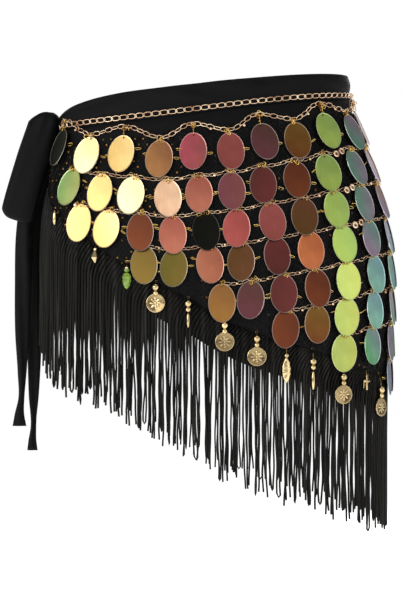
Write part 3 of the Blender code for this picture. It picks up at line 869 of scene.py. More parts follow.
@dataclass
class NetPanel:
    """The wrapped triangle: a thin black lining under a crochet net of diamond mesh."""

    cut: ScarfCut
    columns: int = 260
    rows: int = 48
    wall: float = 0.0007
    ripple: float = 0.0006
    mesh_width: float = 0.0095
    mesh_height: float = 0.0115
    thread: float = 0.00048
    thread_out: float = 0.0013
    knot: float = 0.00085
    sequin: float = 0.0015
    sequin_share: float = 0.04
    sequin_share_point: float = 0.12
    point_until: float = 0.3
    # Near the knot the sequins grow thick and small: gold glitter that is partly a painted reflection
    # of the gold discs' warm glow on the net.
    glitter_from: float = 0.50
    glitter_grows_over: float = 0.15
    glitter_share: float = 0.60
    glitter_above: float = -0.175
    glitter_size: float = 0.75
    step: float = 0.0062
    plain_top: float = 0.014
    tuck: float = 0.003
    tuck_in: float = 0.0012
    middle: float = -0.15
    lowest: float = -0.30
    reach_round: float = 1.7
    crossing_rows: int = 56
    crossing_columns: int = 105
    side_clear: float = 0.002
    sequin_wall: float = 0.0005
    sequin_lift: float = 0.0011
    edge: float = 0.0009
    edge_turn: float = 0.012
    edge_out: float = 0.0013

    @cached_property
    def half_round(self) -> float:
        """Distance round from the scarf's point to the knot at the panel's middle height."""
        return self.cut.form.half_girth(self.middle)

    def surface(self, across: float, up: float) -> Vector:
        """The lining's inner face."""
        share = self.cut.panel_edge * (1 - 2 * across)
        top = self.cut.panel_top(share) + self.tuck
        bottom = self.cut.hem.read(abs(share))
        height = bottom + up * (top - bottom)
        down = 1 - up
        wave = math.sin(37 * share + 3 * down) * math.sin(23 * share - 5 * down + 1)
        out = 0.0001 + self.ripple * down * (0.5 + 0.5 * wave)
        out -= self.tuck_in * min(max((height - top) / (2 * self.tuck) + 1, 0.0), 0.5) * 2
        return self.cut.form.place(share, height, out)

    def build_lining(self) -> Piece:
        girth = 2 * self.cut.panel_edge * self.half_round
        deep = self.cut.panel_top(0.0) - self.cut.hem.read(0.0)
        lining = cloth_grid(self.columns, self.rows, self.surface, (girth, deep))
        area = flat_area(lining)
        piece = make_piece("net_lining", lining, LINING, ["net_panel"])
        thicken(piece, self.wall)
        return piece

    def thread_route(self, start: float, slope: float) -> list[Route]:
        """Lays one slanting thread of the net.

        Args:
            start: Its share of the way round at the height of the main chain.
            slope: Share that it moves on for each metre down.

        Returns:
            The stretches of it that lie on the panel.
        """
        stretches: list[Route] = [[]]
        height = 0.0
        while height > self.lowest:
            share = start + slope * -height
            inside = (
                abs(share) < self.cut.panel_edge - self.side_clear
                and self.cut.hem.read(abs(share)) - 0.001
                < height
                < self.cut.panel_top(share) - self.plain_top
            )
            if inside:
                stretches[-1].append(self.cut.form.place(share, height, self.thread_out))
            elif stretches[-1]:
                stretches.append([])
            height -= self.step
        return [stretch for stretch in stretches if len(stretch) > 2]

    def crossings(self) -> list[list[tuple[float, float]]]:
        """Where the slanting threads cross on the panel, row by row: share and height."""
        half_pitch = self.mesh_width / self.half_round / 2
        rows = []
        for down in range(1, self.crossing_rows):
            height, found = -down * self.mesh_height / 2, []
            for number in range(down % 2 - self.crossing_columns, self.crossing_columns + 1, 2):
                share = number * half_pitch
                low, high = self.cut.hem.read(abs(share)), self.cut.panel_top(share)
                on_panel = low < height < high - self.plain_top
                if on_panel and abs(share) < self.cut.panel_edge - 0.003:
                    found.append((share, height))
            rows.append(found)
        return rows

    def build_net(self) -> Piece:
        """Makes the net: two families of slanting threads, knotted where they cross."""
        slope = self.mesh_width / self.mesh_height / self.half_round
        pitch = self.mesh_width / self.half_round
        threads = Threads(self.thread)
        count = int(self.reach_round / pitch)
        for number in range(-count, count + 1):
            for way in (1, -1):
                threads.routes += self.thread_route(number * pitch, way * slope)
        swept = threads.mesh("threads")
        net = bmesh.new()
        net.from_mesh(swept)
        knot = bmesh.new()
        bmesh.ops.create_icosphere(knot, subdivisions=1, radius=self.knot)
        knot_tool = tool_mesh("net_knot", knot)
        for row in self.crossings():
            knots = bmesh.new()
            for share, height in row:
                point = self.cut.form.place(share, height, self.thread_out)
                stamp(knots, knot_tool, Matrix.Translation(point))
            row_tool = tool_mesh("net_knots", knots)
            net.from_mesh(row_tool)
            discard(row_tool)
        discard(swept, knot_tool)
        return make_piece("crochet_net", net, NET_CORD)

    def build_sequins(self) -> Piece:
        """Scatters small cupped sequins in dark gold over the net's knots; the thick small gold
        glitter near the knot is partly a painted reflection of the gold discs' warm glow on the net.
        """
        chance = random.Random(SEQUIN_SEED)
        sequin = bmesh.new()
        bmesh.ops.create_cone(
            sequin,
            cap_ends=True,
            segments=8,
            radius1=self.sequin,
            radius2=self.sequin * 0.55,
            depth=self.sequin_wall,
        )
        tool = tool_mesh("sequin", sequin)
        flat = [vertex.co.copy() for vertex in tool.vertices]
        scatter = bmesh.new()
        film = scatter.verts.layers.float_color.new("film")
        chart = scatter.loops.layers.uv.new("disc")
        for share, height in (place for row in self.crossings() for place in row):
            glitter = abs(share) > self.glitter_from and height > self.glitter_above
            at_point = abs(share) < self.point_until
            likely = self.sequin_share_point if at_point else self.sequin_share
            # Painted reflection, in part: the gold glitter near the knot stands in for the warm glow
            # that the gold discs throw on the net.
            if glitter:
                grown = (abs(share) - self.glitter_from) / self.glitter_grows_over
                likely = self.glitter_share * min(grown, 1.0)
            if chance.random() > likely:
                continue
            films = (Film.BRASS, Film.OCHRE, Film.UMBER) if glitter else (Film.UMBER, Film.SMOKE)
            colour = chance.choice(films).main
            place = self.cut.form.frame_on(share, height, self.thread_out + self.sequin_lift)
            if glitter:
                tip = Matrix.Rotation(chance.uniform(-0.5, 0.5), 4, "X")
                place = place @ tip @ Matrix.Scale(self.glitter_size, 4)
            for vertex, local in zip(stamp(scatter, tool, place), flat):
                vertex[film] = (*colour, 1.0)
                for loop in vertex.link_loops:
                    loop[chart].uv = (local.x, local.y)
        discard(tool)
        return make_piece("net_sequins", scatter, MIRROR_FILM, smooth=False)

    def build_edges(self) -> Piece:
        """Makes the corded edges: the hem and the two slanting sides under the knot."""
        edge = Threads(self.edge, 1, self.edge_turn)
        hem = [
            self.cut.form.place(share, self.cut.hem.read(abs(share)) + 0.0005, self.edge_out)
            for share in np.linspace(-self.cut.panel_edge, self.cut.panel_edge, 300)
        ]
        edge.routes.append(hem)
        for side in (-1, 1):
            share = side * self.cut.panel_edge
            low, high = self.cut.hem.read(abs(share)), self.cut.panel_top(share) - 0.002
            heights = np.linspace(low, high, 12)
            edge.routes.append([self.cut.form.place(share, h, self.edge_out) for h in heights])
        return make_piece("net_edges", edge.mesh("net_edges"), NET_CORD)

    def build(self) -> None:
        """Makes the lining, the net over it and their corded edge."""
        self.build_lining()
        self.build_net()
        self.build_sequins()
        self.build_edges()


@dataclass(frozen=True)
class Strand:
    """One hanging leg of cord: where it hangs, how far down, and how it gathers and drifts."""

    share: float
    tip: float
    pulled_to: float
    pull: float
    sway: float
    phase: float


@dataclass
class Fringe:
    """Cords under the hem on one side, which lean out of it and then hang."""

    cut: ScarfCut
    name: str
    side: int
    node: str
    seed: int
    strands: int = 138
    shares: tuple[float, float] = (0.0008, 0.945)
    cord: float = 0.00160
    taper: float = 0.36
    lean: float = 0.013
    lean_drop: float = 0.026
    step: float = 0.0034
    sway: float = 0.0022
    waver: float = 0.0004
    free_below: float = -0.245
    uneven: float = 0.006
    ragged: float = 0.006
    joined_share: float = 0.45
    pull: tuple[float, float] = (0.15, 0.75)
    clusters: tuple[int, ...] = (1, 1, 2, 2, 3, 4)
    out: float = 0.0019
    header_height: float = 0.0340
    header_wall: float = 0.0008
    header_length: float = 0.45
    join_gap: float = 0.0045
    join_drop: float = 0.0022

    def free_from(self, root: float, tip: float) -> float:
        """The share of its fall at which a cord leaves the hip and can draw to its neighbours."""
        return min(max((root - self.free_below) / (root - tip), 0.08), 0.60)

    def lay(self, strand: Strand) -> Route:
        """Lays a strand from the hem to its tip.

        Args:
            strand: The strand.

        Returns:
            The points of its middle line.
        """
        form = self.cut.form
        half = form.half_girth(-0.2)
        lean = self.lean * min(strand.share / 0.10, 1.0) / half
        root = self.cut.hem.read(max(strand.share - lean, 0.0))
        count = max(int((root - strand.tip) / self.step), 8)
        free = self.free_from(root, strand.tip)
        route = []
        for number in range(count + 1):
            fallen = number / count
            height = root + (strand.tip - root) * fallen
            leaned = 1 - (1 - min((root - height) / self.lean_drop, 1.0)) ** 2
            loose = max(fallen - free, 0.0) / (1 - free)
            gathered = strand.pull * min(loose / 0.7, 1.0) ** 0.8
            drift = strand.sway * fallen * math.sin(strand.phase + 5.0 * fallen)
            drift += self.waver * loose * math.sin(3 * strand.phase + 21.0 * fallen)
            here = strand.share + (strand.pulled_to - strand.share) * gathered
            here += drift / half - lean * (1 - leaned)
            widest = form.widest_above(height, root)
            point = form.place(self.side * here, widest, self.out, fluted=False)
            point.z = height
            route.append(point)
        return route

    def plan(self, chance: random.Random) -> list[Strand]:
        """Plans the strands in clusters that draw together towards their tips."""
        start, end = self.shares
        pitch = (end - start) / self.strands
        planned: list[Strand] = []
        while len(planned) < self.strands:
            size = min(chance.choice(self.clusters), self.strands - len(planned))
            middle = start + (len(planned) + size / 2) * pitch
            pull, drop = chance.uniform(*self.pull), chance.uniform(-1, 1) * self.uneven
            for number in range(size):
                share = start + (len(planned) + 0.5) * pitch
                tip = self.cut.hem.read(share) - self.cut.fringe.read(share) - drop
                tip += chance.uniform(0, self.ragged)
                sway = self.sway * chance.uniform(-1, 1)
                planned.append(Strand(share, tip, middle, pull, sway, chance.uniform(0, math.tau)))
        return planned

    def routes(self, chance: random.Random) -> list[Route]:
        """Lays every strand, and joins some neighbours into loops at their tips."""
        laid = [self.lay(strand) for strand in self.plan(chance)]
        routes = []
        while laid:
            first = laid.pop(0)
            if laid and chance.random() < self.joined_share:
                second = laid.pop(0)
                gap = (first[-1] - second[-1]).length
                if gap < self.join_gap:
                    low = min(first[-1].z, second[-1].z) - self.join_drop
                    bottom = (first[-1] + second[-1]) / 2
                    bottom.z = low
                    first = first + [bottom] + second[::-1]
                else:
                    routes.append(second)
            routes.append(first)
        return routes

    def swell(self, route: Route) -> list[float]:
        """How thick a cord is at each point of its route: full at the hem, thinner below."""
        root, tip = route[0].z, min(point.z for point in route)
        free = self.free_from(root, tip)
        fallen = [(root - point.z) / (root - tip) for point in route]
        loose = [max(share - free + 0.08, 0.0) / (1 - free) for share in fallen]
        return [1 - self.taper * min(share / 0.35, 1.0) for share in loose]

    def header(self, across: float, up: float) -> Vector:
        """The inner face of the tape that the cords are sewn to."""
        start, end = self.shares
        share = start + across * (end - start)
        height = self.cut.hem.read(share) + 0.0006 - (1 - up) * self.header_height
        return self.cut.form.place(self.side * share, height, 0.0003)

    def build(self) -> Piece:
        """Makes the fringe with its header tape, as one piece."""
        chance = random.Random(self.seed)
        routes = self.routes(chance)
        swells = [self.swell(route) for route in routes]
        swept = Threads(self.cord, 1, routes=routes, swells=swells).mesh("cords")
        fringe = cloth_grid(150, 3, self.header, (self.header_length, self.header_height))
        bmesh.ops.recalc_face_normals(fringe, faces=fringe.faces)
        bmesh.ops.solidify(fringe, geom=fringe.faces[:], thickness=-self.header_wall)
        fringe.from_mesh(swept)
        discard(swept)
        return make_piece(self.name, fringe, FRINGE_CORD, [self.node])


# ---- chains and discs ---------------------------------------------------------------------------


@dataclass(frozen=True)
class Link:
    """One oval link of round wire, lying flat with its length along X."""

    length: float
    width: float
    wire: float
    steps: int = 10
    wire_sides: int = 4

    def mesh(self, name: str) -> Mesh:
        """Spins the wire into a ring and draws it out to an oval."""
        link = bmesh.new()
        radius = (self.width - self.wire) / 2
        upright = slide(radius) @ turn_by(90, "Y")
        bmesh.ops.create_circle(
            link, cap_ends=False, segments=self.wire_sides, radius=self.wire / 2, matrix=upright
        )
        bmesh.ops.spin(
            link,
            geom=link.verts[:] + link.edges[:],
            cent=(0, 0, 0),
            axis=(0, 0, 1),
            angle=math.tau,
            steps=self.steps,
            use_merge=True,
        )
        draw_out = (self.length - self.width) / 2
        for vertex in link.verts:
            vertex.co.x += draw_out * vertex.co.x / math.hypot(vertex.co.x, vertex.co.y)
        return tool_mesh(name, link)


@dataclass(frozen=True)
class Stop:
    """A point that a chain passes, on the hips."""

    share: float
    height: float
    out: float


@dataclass
class ChainRun:
    """A chain of links along a run of stops over the hips."""

    form: HipForm
    stops: list[Stop]

    def lay(self, target: Shape, link: Mesh, pitch: float, turns: Sequence[float]) -> None:
        """Lays links end to end.

        Args:
            target: The shape that they are added to.
            link: The link.
            pitch: Distance from one link's middle to the next.
            turns: Turn of each link about the chain, in degrees, used in order.
        """
        points = [self.form.place(s.share, s.height, s.out, fluted=False) for s in self.stops]
        steps = [(b - a).length for a, b in zip(points, points[1:])]
        runs = np.concatenate([[0], np.cumsum(steps)])
        columns = np.array(points).T
        count = int(runs[-1] / pitch)
        spare = (runs[-1] - count * pitch) / 2
        shares = [s.share for s in self.stops]
        for number in range(count):
            at = spare + (number + 0.5) * pitch
            here, near, far = (
                Vector([float(np.interp(x, runs, column)) for column in columns])
                for x in (at, at - pitch / 3, at + pitch / 3)
            )
            outward = self.form.frame_on(float(np.interp(at, runs, shares)), here.z).col[2].to_3d()
            ahead = (far - near).normalized()
            matrix = turned_place(here, ahead, outward.cross(ahead))
            stamp(target, link, matrix @ turn_by(turns[number % len(turns)], "X"))


@dataclass
class MainChain:
    """The curb chain along the band's lower edge."""

    cut: ScarfCut
    end_share: float = 0.905
    out: float = 0.0042
    link: Link = Link(0.0111, 0.0059, 0.0010, 14, 5)
    pitch: float = 0.0084

    def build(self) -> Piece:
        """Makes the chain from one side of the knot to the other."""
        chain = bmesh.new()
        stops = [
            Stop(share, self.cut.chain_height(share), self.out)
            for share in np.linspace(self.end_share, -self.end_share, 160)
        ]
        link = self.link.mesh("curb_link")
        ChainRun(self.cut.form, stops).lay(chain, link, self.pitch, (27, 31, 25))
        discard(link)
        return make_piece("main_chain_links", chain, GOLD, ["main_chain"])


class Film(Enum):
    """The mirror films that the discs are cut from: each one's colour and the colour of the painted
    sheen that it drifts to.
    """

    TAN = drifting(178, 138, 120, 150, 120, 132)
    SEA = drifting(116, 174, 146, 174, 146, 170)
    MAUVE = drifting(178, 150, 176, 124, 172, 156)
    LILAC = drifting(166, 154, 194, 196, 150, 120)
    SLATE = drifting(134, 168, 182, 176, 160, 190)
    TEAL = drifting(154, 208, 184, 142, 182, 190)
    GREEN = drifting(112, 190, 124, 152, 156, 176)
    LIME = drifting(168, 192, 92, 150, 178, 98)
    PALE_LIME = drifting(180, 198, 108, 190, 196, 98)
    BROWN = drifting(116, 70, 36, 122, 92, 42)
    UMBER = drifting(88, 60, 30, 98, 62, 42)
    CHESTNUT = drifting(114, 60, 36, 96, 50, 34)
    OXBLOOD = drifting(88, 46, 42, 104, 50, 48)
    ROSEWOOD = drifting(140, 72, 66, 152, 80, 76)
    MULBERRY = drifting(116, 64, 74, 122, 72, 62)
    PLUM = drifting(100, 56, 62, 84, 58, 50)
    ROSE = drifting(190, 84, 100, 150, 88, 78)
    CORAL = drifting(168, 84, 78, 146, 68, 64)
    SALMON = drifting(184, 112, 90, 160, 88, 74)
    COPPER = drifting(182, 130, 80, 142, 94, 66)
    SIENNA = drifting(178, 112, 84, 150, 86, 66)
    PEACH = drifting(238, 190, 152, 246, 204, 166)
    ORANGE = drifting(206, 122, 76, 184, 102, 64)
    HONEY = drifting(208, 170, 100, 230, 200, 134)
    OCHRE = drifting(152, 108, 54, 134, 92, 54)
    OLIVE = drifting(102, 92, 38, 120, 100, 48)
    BRASS = drifting(106, 86, 38, 92, 74, 34)
    GOLD = drifting(228, 196, 126, 214, 176, 110)
    PALE_GOLD = drifting(248, 234, 186, 240, 224, 160)
    MEADOW = drifting(122, 164, 98, 184, 180, 110)
    SMOKE = drifting(46, 48, 42, 72, 74, 62)
    RUST = drifting(98, 52, 31, 80, 42, 27)
    SOOT = drifting(15, 15, 12, 20, 20, 16)

    @property
    def main(self) -> Colour:
        """The film's own colour."""
        return self.value[0]

    @property
    def drift(self) -> Colour:
        """The painted sheen: the colour painted where the disc would catch the light another way."""
        return self.value[1]

    @property
    def rim_share(self) -> float:
        """How much of the painted pale glint on its rim it shows."""
        return 0.05 if self is Film.SOOT else 0.35


@dataclass(frozen=True)
class DiscShape:
    """A thin oval disc with a turned rim and a hole near its top."""

    width: float = 0.028
    length: float = 0.0395
    thickness: float = 0.0005
    rim: float = 0.0008
    dish: float = 0.00022
    hole: float = 0.0009
    hole_drop: float = 0.0025
    segments: int = 26

    def mesh(self) -> Mesh:
        """Draws the rim in from an oval, fills it round the hole and gives it its thickness."""
        disc = bmesh.new()
        ring = bmesh.ops.create_circle(disc, cap_ends=False, segments=self.segments, radius=1.0)
        bmesh.ops.scale(disc, vec=(self.width / 2, self.length / 2, 1.0), verts=ring["verts"])
        drawn = bmesh.ops.extrude_edge_only(disc, edges=disc.edges[:])["geom"]
        inner = [item for item in drawn if isinstance(item, bmesh.types.BMVert)]
        shrink = (1 - 2 * self.rim / self.width, 1 - 2 * self.rim / self.length, 1.0)
        bmesh.ops.scale(disc, vec=shrink, verts=inner)
        bmesh.ops.translate(disc, vec=(0, 0, -self.dish), verts=inner)
        centre = Matrix.Translation((0, self.length / 2 - self.hole_drop, -self.dish))
        hole = bmesh.ops.create_circle(disc, segments=8, radius=self.hole, matrix=centre)
        edges = {e for v in hole["verts"] for e in v.link_edges}
        edges |= {e for v in inner for e in v.link_edges if e.is_boundary}
        bmesh.ops.triangle_fill(disc, use_beauty=True, edges=list(edges), normal=(0, 0, 1))
        bmesh.ops.recalc_face_normals(disc, faces=disc.faces)
        if sum(face.normal.z for face in disc.faces) < 0:
            bmesh.ops.reverse_faces(disc, faces=disc.faces)
        bmesh.ops.solidify(disc, geom=disc.faces[:], thickness=self.thickness)
        return tool_mesh("oval_disc", disc)


@dataclass(frozen=True, kw_only=True)
class RowPlan:
    """One swagged row of discs; its films are named from the point round to the knot.

    A row whose first disc isn't at the point itself says how far round it is.  The spacing
    closes up towards the knot.
    """

    discs_a_side: int
    first: float = 0.0
    spacing: float
    closing: float = 0.0
    droop: float = 1.0
    films: tuple[Film, ...]
    washers_after: tuple[int, ...] = ()
    end_bead: bool = False
    lean_limit: float = 90.0  # degrees towards the knot, before a disc meets a charm


def film_row(names: str) -> tuple[Film, ...]:
    """The films of a row, by their names."""
    return tuple(Film[name] for name in names.split())


ROW_PLANS = (
    RowPlan(
        discs_a_side=11,
        first=0.0190,
        spacing=0.0369,
        droop=0.84,
        films=film_row("TAN SEA LIME BROWN PLUM ROSEWOOD ROSE COPPER HONEY PALE_GOLD SMOKE"),
    ),
    RowPlan(
        discs_a_side=11,
        spacing=0.0380,
        closing=0.00028,
        droop=0.96,
        films=film_row(
            "TAN LILAC SEA LIME CHESTNUT OXBLOOD MULBERRY SALMON PEACH PALE_GOLD GOLD MEADOW"
        ),
        washers_after=(2,),
    ),
    RowPlan(
        discs_a_side=11,
        spacing=0.0395,
        closing=0.00042,
        droop=0.98,
        films=film_row("OCHRE LILAC SEA LIME UMBER ROSEWOOD CORAL SOOT SALMON RUST HONEY GOLD"),
        washers_after=(2,),
        end_bead=True,
    ),
    RowPlan(
        discs_a_side=9,
        spacing=0.0395,
        closing=0.00042,
        droop=0.90,
        films=film_row("TEAL SLATE MAUVE LIME ORANGE OXBLOOD UMBER SIENNA OLIVE BRASS"),
        washers_after=(2,),
        end_bead=True,
        lean_limit=1.4,
    ),
    RowPlan(
        discs_a_side=7,
        spacing=0.0400,
        closing=0.00075,
        films=film_row("SLATE TEAL TEAL PALE_LIME CHESTNUT OXBLOOD PLUM OCHRE"),
    ),
    RowPlan(
        discs_a_side=5,
        spacing=0.0415,
        closing=0.00120,
        films=film_row("LILAC SEA TEAL PALE_LIME BROWN CHESTNUT"),
    ),
    RowPlan(
        discs_a_side=3,
        spacing=0.0430,
        closing=0.00160,
        films=film_row("BRASS MAUVE GREEN PALE_LIME"),
    ),
    RowPlan(discs_a_side=1, spacing=0.0390, droop=0.90, films=film_row("MAUVE SLATE")),
)
# The pale colour painted on the discs' rims as a highlight.
RIM_GLINT: Colour = (0.90, 0.84, 0.76)


@dataclass
class DiscRow:
    """A row of discs, each on a jump ring under a swagged cable chain; angles in degrees."""

    cut: ScarfCut
    number: int
    plan: RowPlan
    disc: DiscShape
    first_height: float = -0.025
    row_spacing: float = 0.0365
    zigzag: float = 0.002
    peak_rise: float = 0.0110
    valley_rise: float = 0.0045
    chain_rise: float = 0.0035
    lift: float = 0.0045
    out: float = 0.0035
    sag: float = 0.0026
    sag_out: float = 0.0028
    swing: float = 6.0
    yaw: float = 4.0
    knot_lean: float = 9.0
    knot_from: float = 0.6
    knot_over: float = 0.3
    spangle: float = 0.0028
    spangle_hole: float = 0.0005
    spangle_thick: float = 0.0004
    spangle_drop: float = 0.0022
    spangle_in: float = 0.0009
    link: Link = Link(0.0082, 0.0043, 0.0008)
    pitch: float = 0.0062
    first_link: Link = Link(0.0094, 0.0056, 0.0010)
    first_pitch: float = 0.0070
    ring: Link = Link(0.0042, 0.0042, 0.0007, 8, 4)
    ring_start: float = 0.0013
    ring_step: float = 0.0028
    ring_lift: float = 0.0004
    loose_spread: float = 0.010
    loose_out: float = 0.0044
    side_gap: float = 0.0012
    side_out: float = 0.0036
    side_turn: float = 68.0
    sides_all_from: float = 0.5
    sides_left_out: float = 0.6
    bead: float = 0.0016
    bead_out: float = 0.0042
    bead_share: float = 0.55
    end_bead_size: float = 1.5
    end_bead_gap: float = 0.006
    washer_out: float = 0.0050
    chain_end: float = 0.9
    droop: Table = Table(
        (
            (0.000, 0.000), (0.040, 0.003), (0.075, 0.006), (0.111, 0.013), (0.148, 0.021),
            (0.185, 0.027), (0.221, 0.034), (0.255, 0.037), (0.286, 0.041), (0.320, 0.038),
            (0.350, 0.035), (0.384, 0.028),
        )
    )

    def distances(self) -> list[tuple[int, float]]:
        """Each disc's order from the point, negative at the back, and its distance round."""
        plan = self.plan
        skip = 0 if plan.first else 1
        one_side = [
            (k, plan.first + plan.spacing * k - plan.closing * k * k)
            for k in range(skip, plan.discs_a_side + skip)
        ]
        middle = [] if plan.first else [(0, 0.0)]
        return [(k, -d) for k, d in reversed(one_side)] + middle + one_side

    def height(self, order: int, distance: float) -> float:
        """Height of a disc's middle."""
        height = self.first_height - self.number * self.row_spacing
        height -= self.plan.droop * self.droop.read(abs(distance))
        return height + (self.zigzag * (-1) ** order if self.number == 0 else 0.0)

    def disc_place(self, share: float, height: float, chance: random.Random) -> Matrix:
        """The turned place of a disc, swung a little on its ring.

        Args:
            share: Its share of the way round.
            height: Height of its middle.
            chance: The row's own seeded chance.

        Returns:
            A matrix with Y up the disc and Z outward.
        """
        form, half = self.cut.form, self.disc.length / 2
        top = form.place(share, height + half, self.out)
        bottom = form.place(share, height - half, self.out + self.lift)
        ahead = form.frame_on(share, height).col[0].to_3d()
        hang = turned_place((top + bottom) / 2, ahead, top - bottom)
        hook = slide(half - self.disc.hole_drop)
        near_knot = min(max(abs(share) - self.knot_from, 0.0) / self.knot_over, 1.0)
        lean = chance.uniform(-1, 1) * self.swing - math.copysign(self.knot_lean * near_knot, share)
        if near_knot > 0:
            knotward = -math.copysign(1.0, share)
            lean = knotward * min(knotward * lean, self.plan.lean_limit)
        yaw = turn_by(chance.uniform(-1, 1) * self.yaw, "Y")
        return hang @ hook @ turn_by(lean, "Z") @ yaw @ hook.inverted()

    def colour_disc(
        self,
        verts: list[bmesh.types.BMVert],
        flat: list[Vector],
        layers: tuple[Any, Any],
        film: Film,
        chance: random.Random,
    ) -> None:
        """Gives a disc its film's colour with a painted sheen drifting across it and a painted
        highlight on its rim, and its own flat map.

        Args:
            verts: The disc's vertices.
            flat: The same in the disc's own plane.
            layers: The row's colour and map layers.
            film: The film that it is cut from.
            chance: The row's own seeded chance.
        """
        bright, angle = 1 + 0.07 * chance.uniform(-1, 1), chance.uniform(-0.4, 1.6)
        shape = self.disc
        for vertex, local in zip(verts, flat):
            # Painted sheen: the colour drifts from the film's own to its second one along a slant
            # across the disc, as its satin face would catch the light.
            along = (local.x * math.cos(angle) + local.y * math.sin(angle)) / shape.length
            colour = between(film.main, film.drift, min(max(0.45 + 1.1 * along, 0.0), 1.0))
            colour = tuple(value * bright for value in colour)
            # Painted highlight: the outermost ring is lightened towards a pale glint, as the turned
            # rim would catch the light.
            at_rim = (2 * local.x / shape.width) ** 2 + (2 * local.y / shape.length) ** 2
            if at_rim > 0.97:
                colour = between(colour, RIM_GLINT, film.rim_share)
            vertex[layers[0]] = (*colour, 1.0)
            for loop in vertex.link_loops:
                loop[layers[1]].uv = (local.x, local.y)

    def build_discs(self) -> list[Stop]:
        """Makes the row's discs as one piece.

        Returns:
            Where the chain holds each disc.
        """
        chance = random.Random(DISC_SEED + self.number)
        tool = self.disc.mesh()
        spangle = washer_mesh(self.spangle, self.spangle_hole, self.spangle_thick)
        flat = [vertex.co.copy() for vertex in tool.vertices]
        round_flat = [vertex.co.copy() for vertex in spangle.vertices]
        row = bmesh.new()
        layers = (row.verts.layers.float_color.new("film"), row.loops.layers.uv.new("disc"))
        hooks = []
        for order, distance in self.distances():
            height = self.height(order, distance)
            share = distance / self.cut.form.half_girth(height)
            matrix = self.disc_place(share, height, chance)
            film = self.plan.films[abs(order)]
            self.colour_disc(stamp(row, tool, matrix), flat, layers, film, chance)
            rise = self.chain_rise
            if self.number == 0:
                rise = self.valley_rise if order % 2 else self.peak_rise
            hook = height + self.disc.length / 2 - self.disc.hole_drop + rise
            hooks.append(Stop(share, hook, self.out))
            low, near = hook - self.spangle_drop, self.out - self.spangle_in
            dark = stamp(row, spangle, self.cut.form.frame_on(share, low, near))
            self.colour_disc(dark, round_flat, layers, Film.UMBER, chance)
        discard(tool, spangle)
        name = f"disc_row_{self.number + 1}"
        make_piece(f"{name}_discs", row, MIRROR_FILM, [name], smooth=False)
        return hooks

    def chain_stops(self, hooks: list[Stop]) -> list[Stop]:
        """The stops of the chain: waves in the first row, and sagging runs in the others."""
        if self.number == 0:
            top = self.cut.chain_height(self.chain_end) - 0.003
            end = Stop(self.chain_end, top, self.out + 0.0008)
            hooks = [Stop(-end.share, end.height, end.out), *hooks, end]
        stops = [hooks[0]]
        for near, far in zip(hooks, hooks[1:]):
            for share in (step / 8 for step in range(1, 9)):
                sag = 0.0 if self.number == 0 else 4 * share * (1 - share)
                eased = (1 - math.cos(math.pi * share)) / 2
                level = near.height + (far.height - near.height) * eased - self.sag * sag
                out = near.out + (self.sag_out - near.out) * sag
                stops.append(Stop(near.share + (far.share - near.share) * share, level, out))
        return stops

    def build_hooks(self, hooks: list[Stop]) -> Piece:
        """Makes the jump rings and the loose links that hold the discs to the chain and the net.

        Args:
            hooks: Where the chain holds each disc.

        Returns:
            The piece with all of the row's rings and hooks.
        """
        chance = random.Random(HOOK_SEED + self.number)
        form = self.cut.form
        metal = bmesh.new()
        ring, link = self.ring.mesh("jump_ring"), self.link.mesh("loose_link")
        on_edge = turn_by(90, "Y")
        loose = (ring, ring, link) if self.number == 0 else (ring, ring, ring, link, ring)
        for hook, (order, distance) in zip(hooks, self.distances()):
            hole = self.height(order, distance) + self.disc.length / 2 - self.disc.hole_drop
            height = hole + self.ring_start
            while height < hook.height:
                place = form.frame_on(hook.share, height, self.out + self.ring_lift)
                stamp(metal, ring, place @ on_edge)
                height += self.ring_step
            for tool in loose:
                beside = hook.share + chance.uniform(-1, 1) * self.loose_spread
                level = hook.height - chance.uniform(-0.001, 0.004)
                place = form.frame_on(beside, level, self.loose_out)
                turned = Matrix.Rotation(chance.uniform(0, math.pi), 4, (0.5, 1.0, chance.random()))
                stamp(metal, tool, place @ turned)
            reach = (self.disc.width / 2 + self.side_gap) / form.half_girth(hole)
            for way in (-1, 1):
                sparse = abs(hook.share) < self.sides_all_from
                if sparse and chance.random() < self.sides_left_out:
                    continue
                level = hole - chance.uniform(0.010, 0.022)
                place = form.frame_on(hook.share + way * reach, level, self.side_out)
                turned = Matrix.Rotation(chance.uniform(-0.5, 0.5), 4, "Z")
                stamp(metal, link, place @ turned @ turn_by(self.side_turn, "X"))
        discard(ring, link)
        return make_piece(f"row_hooks_{self.number + 1}", metal, DEEP_GOLD)

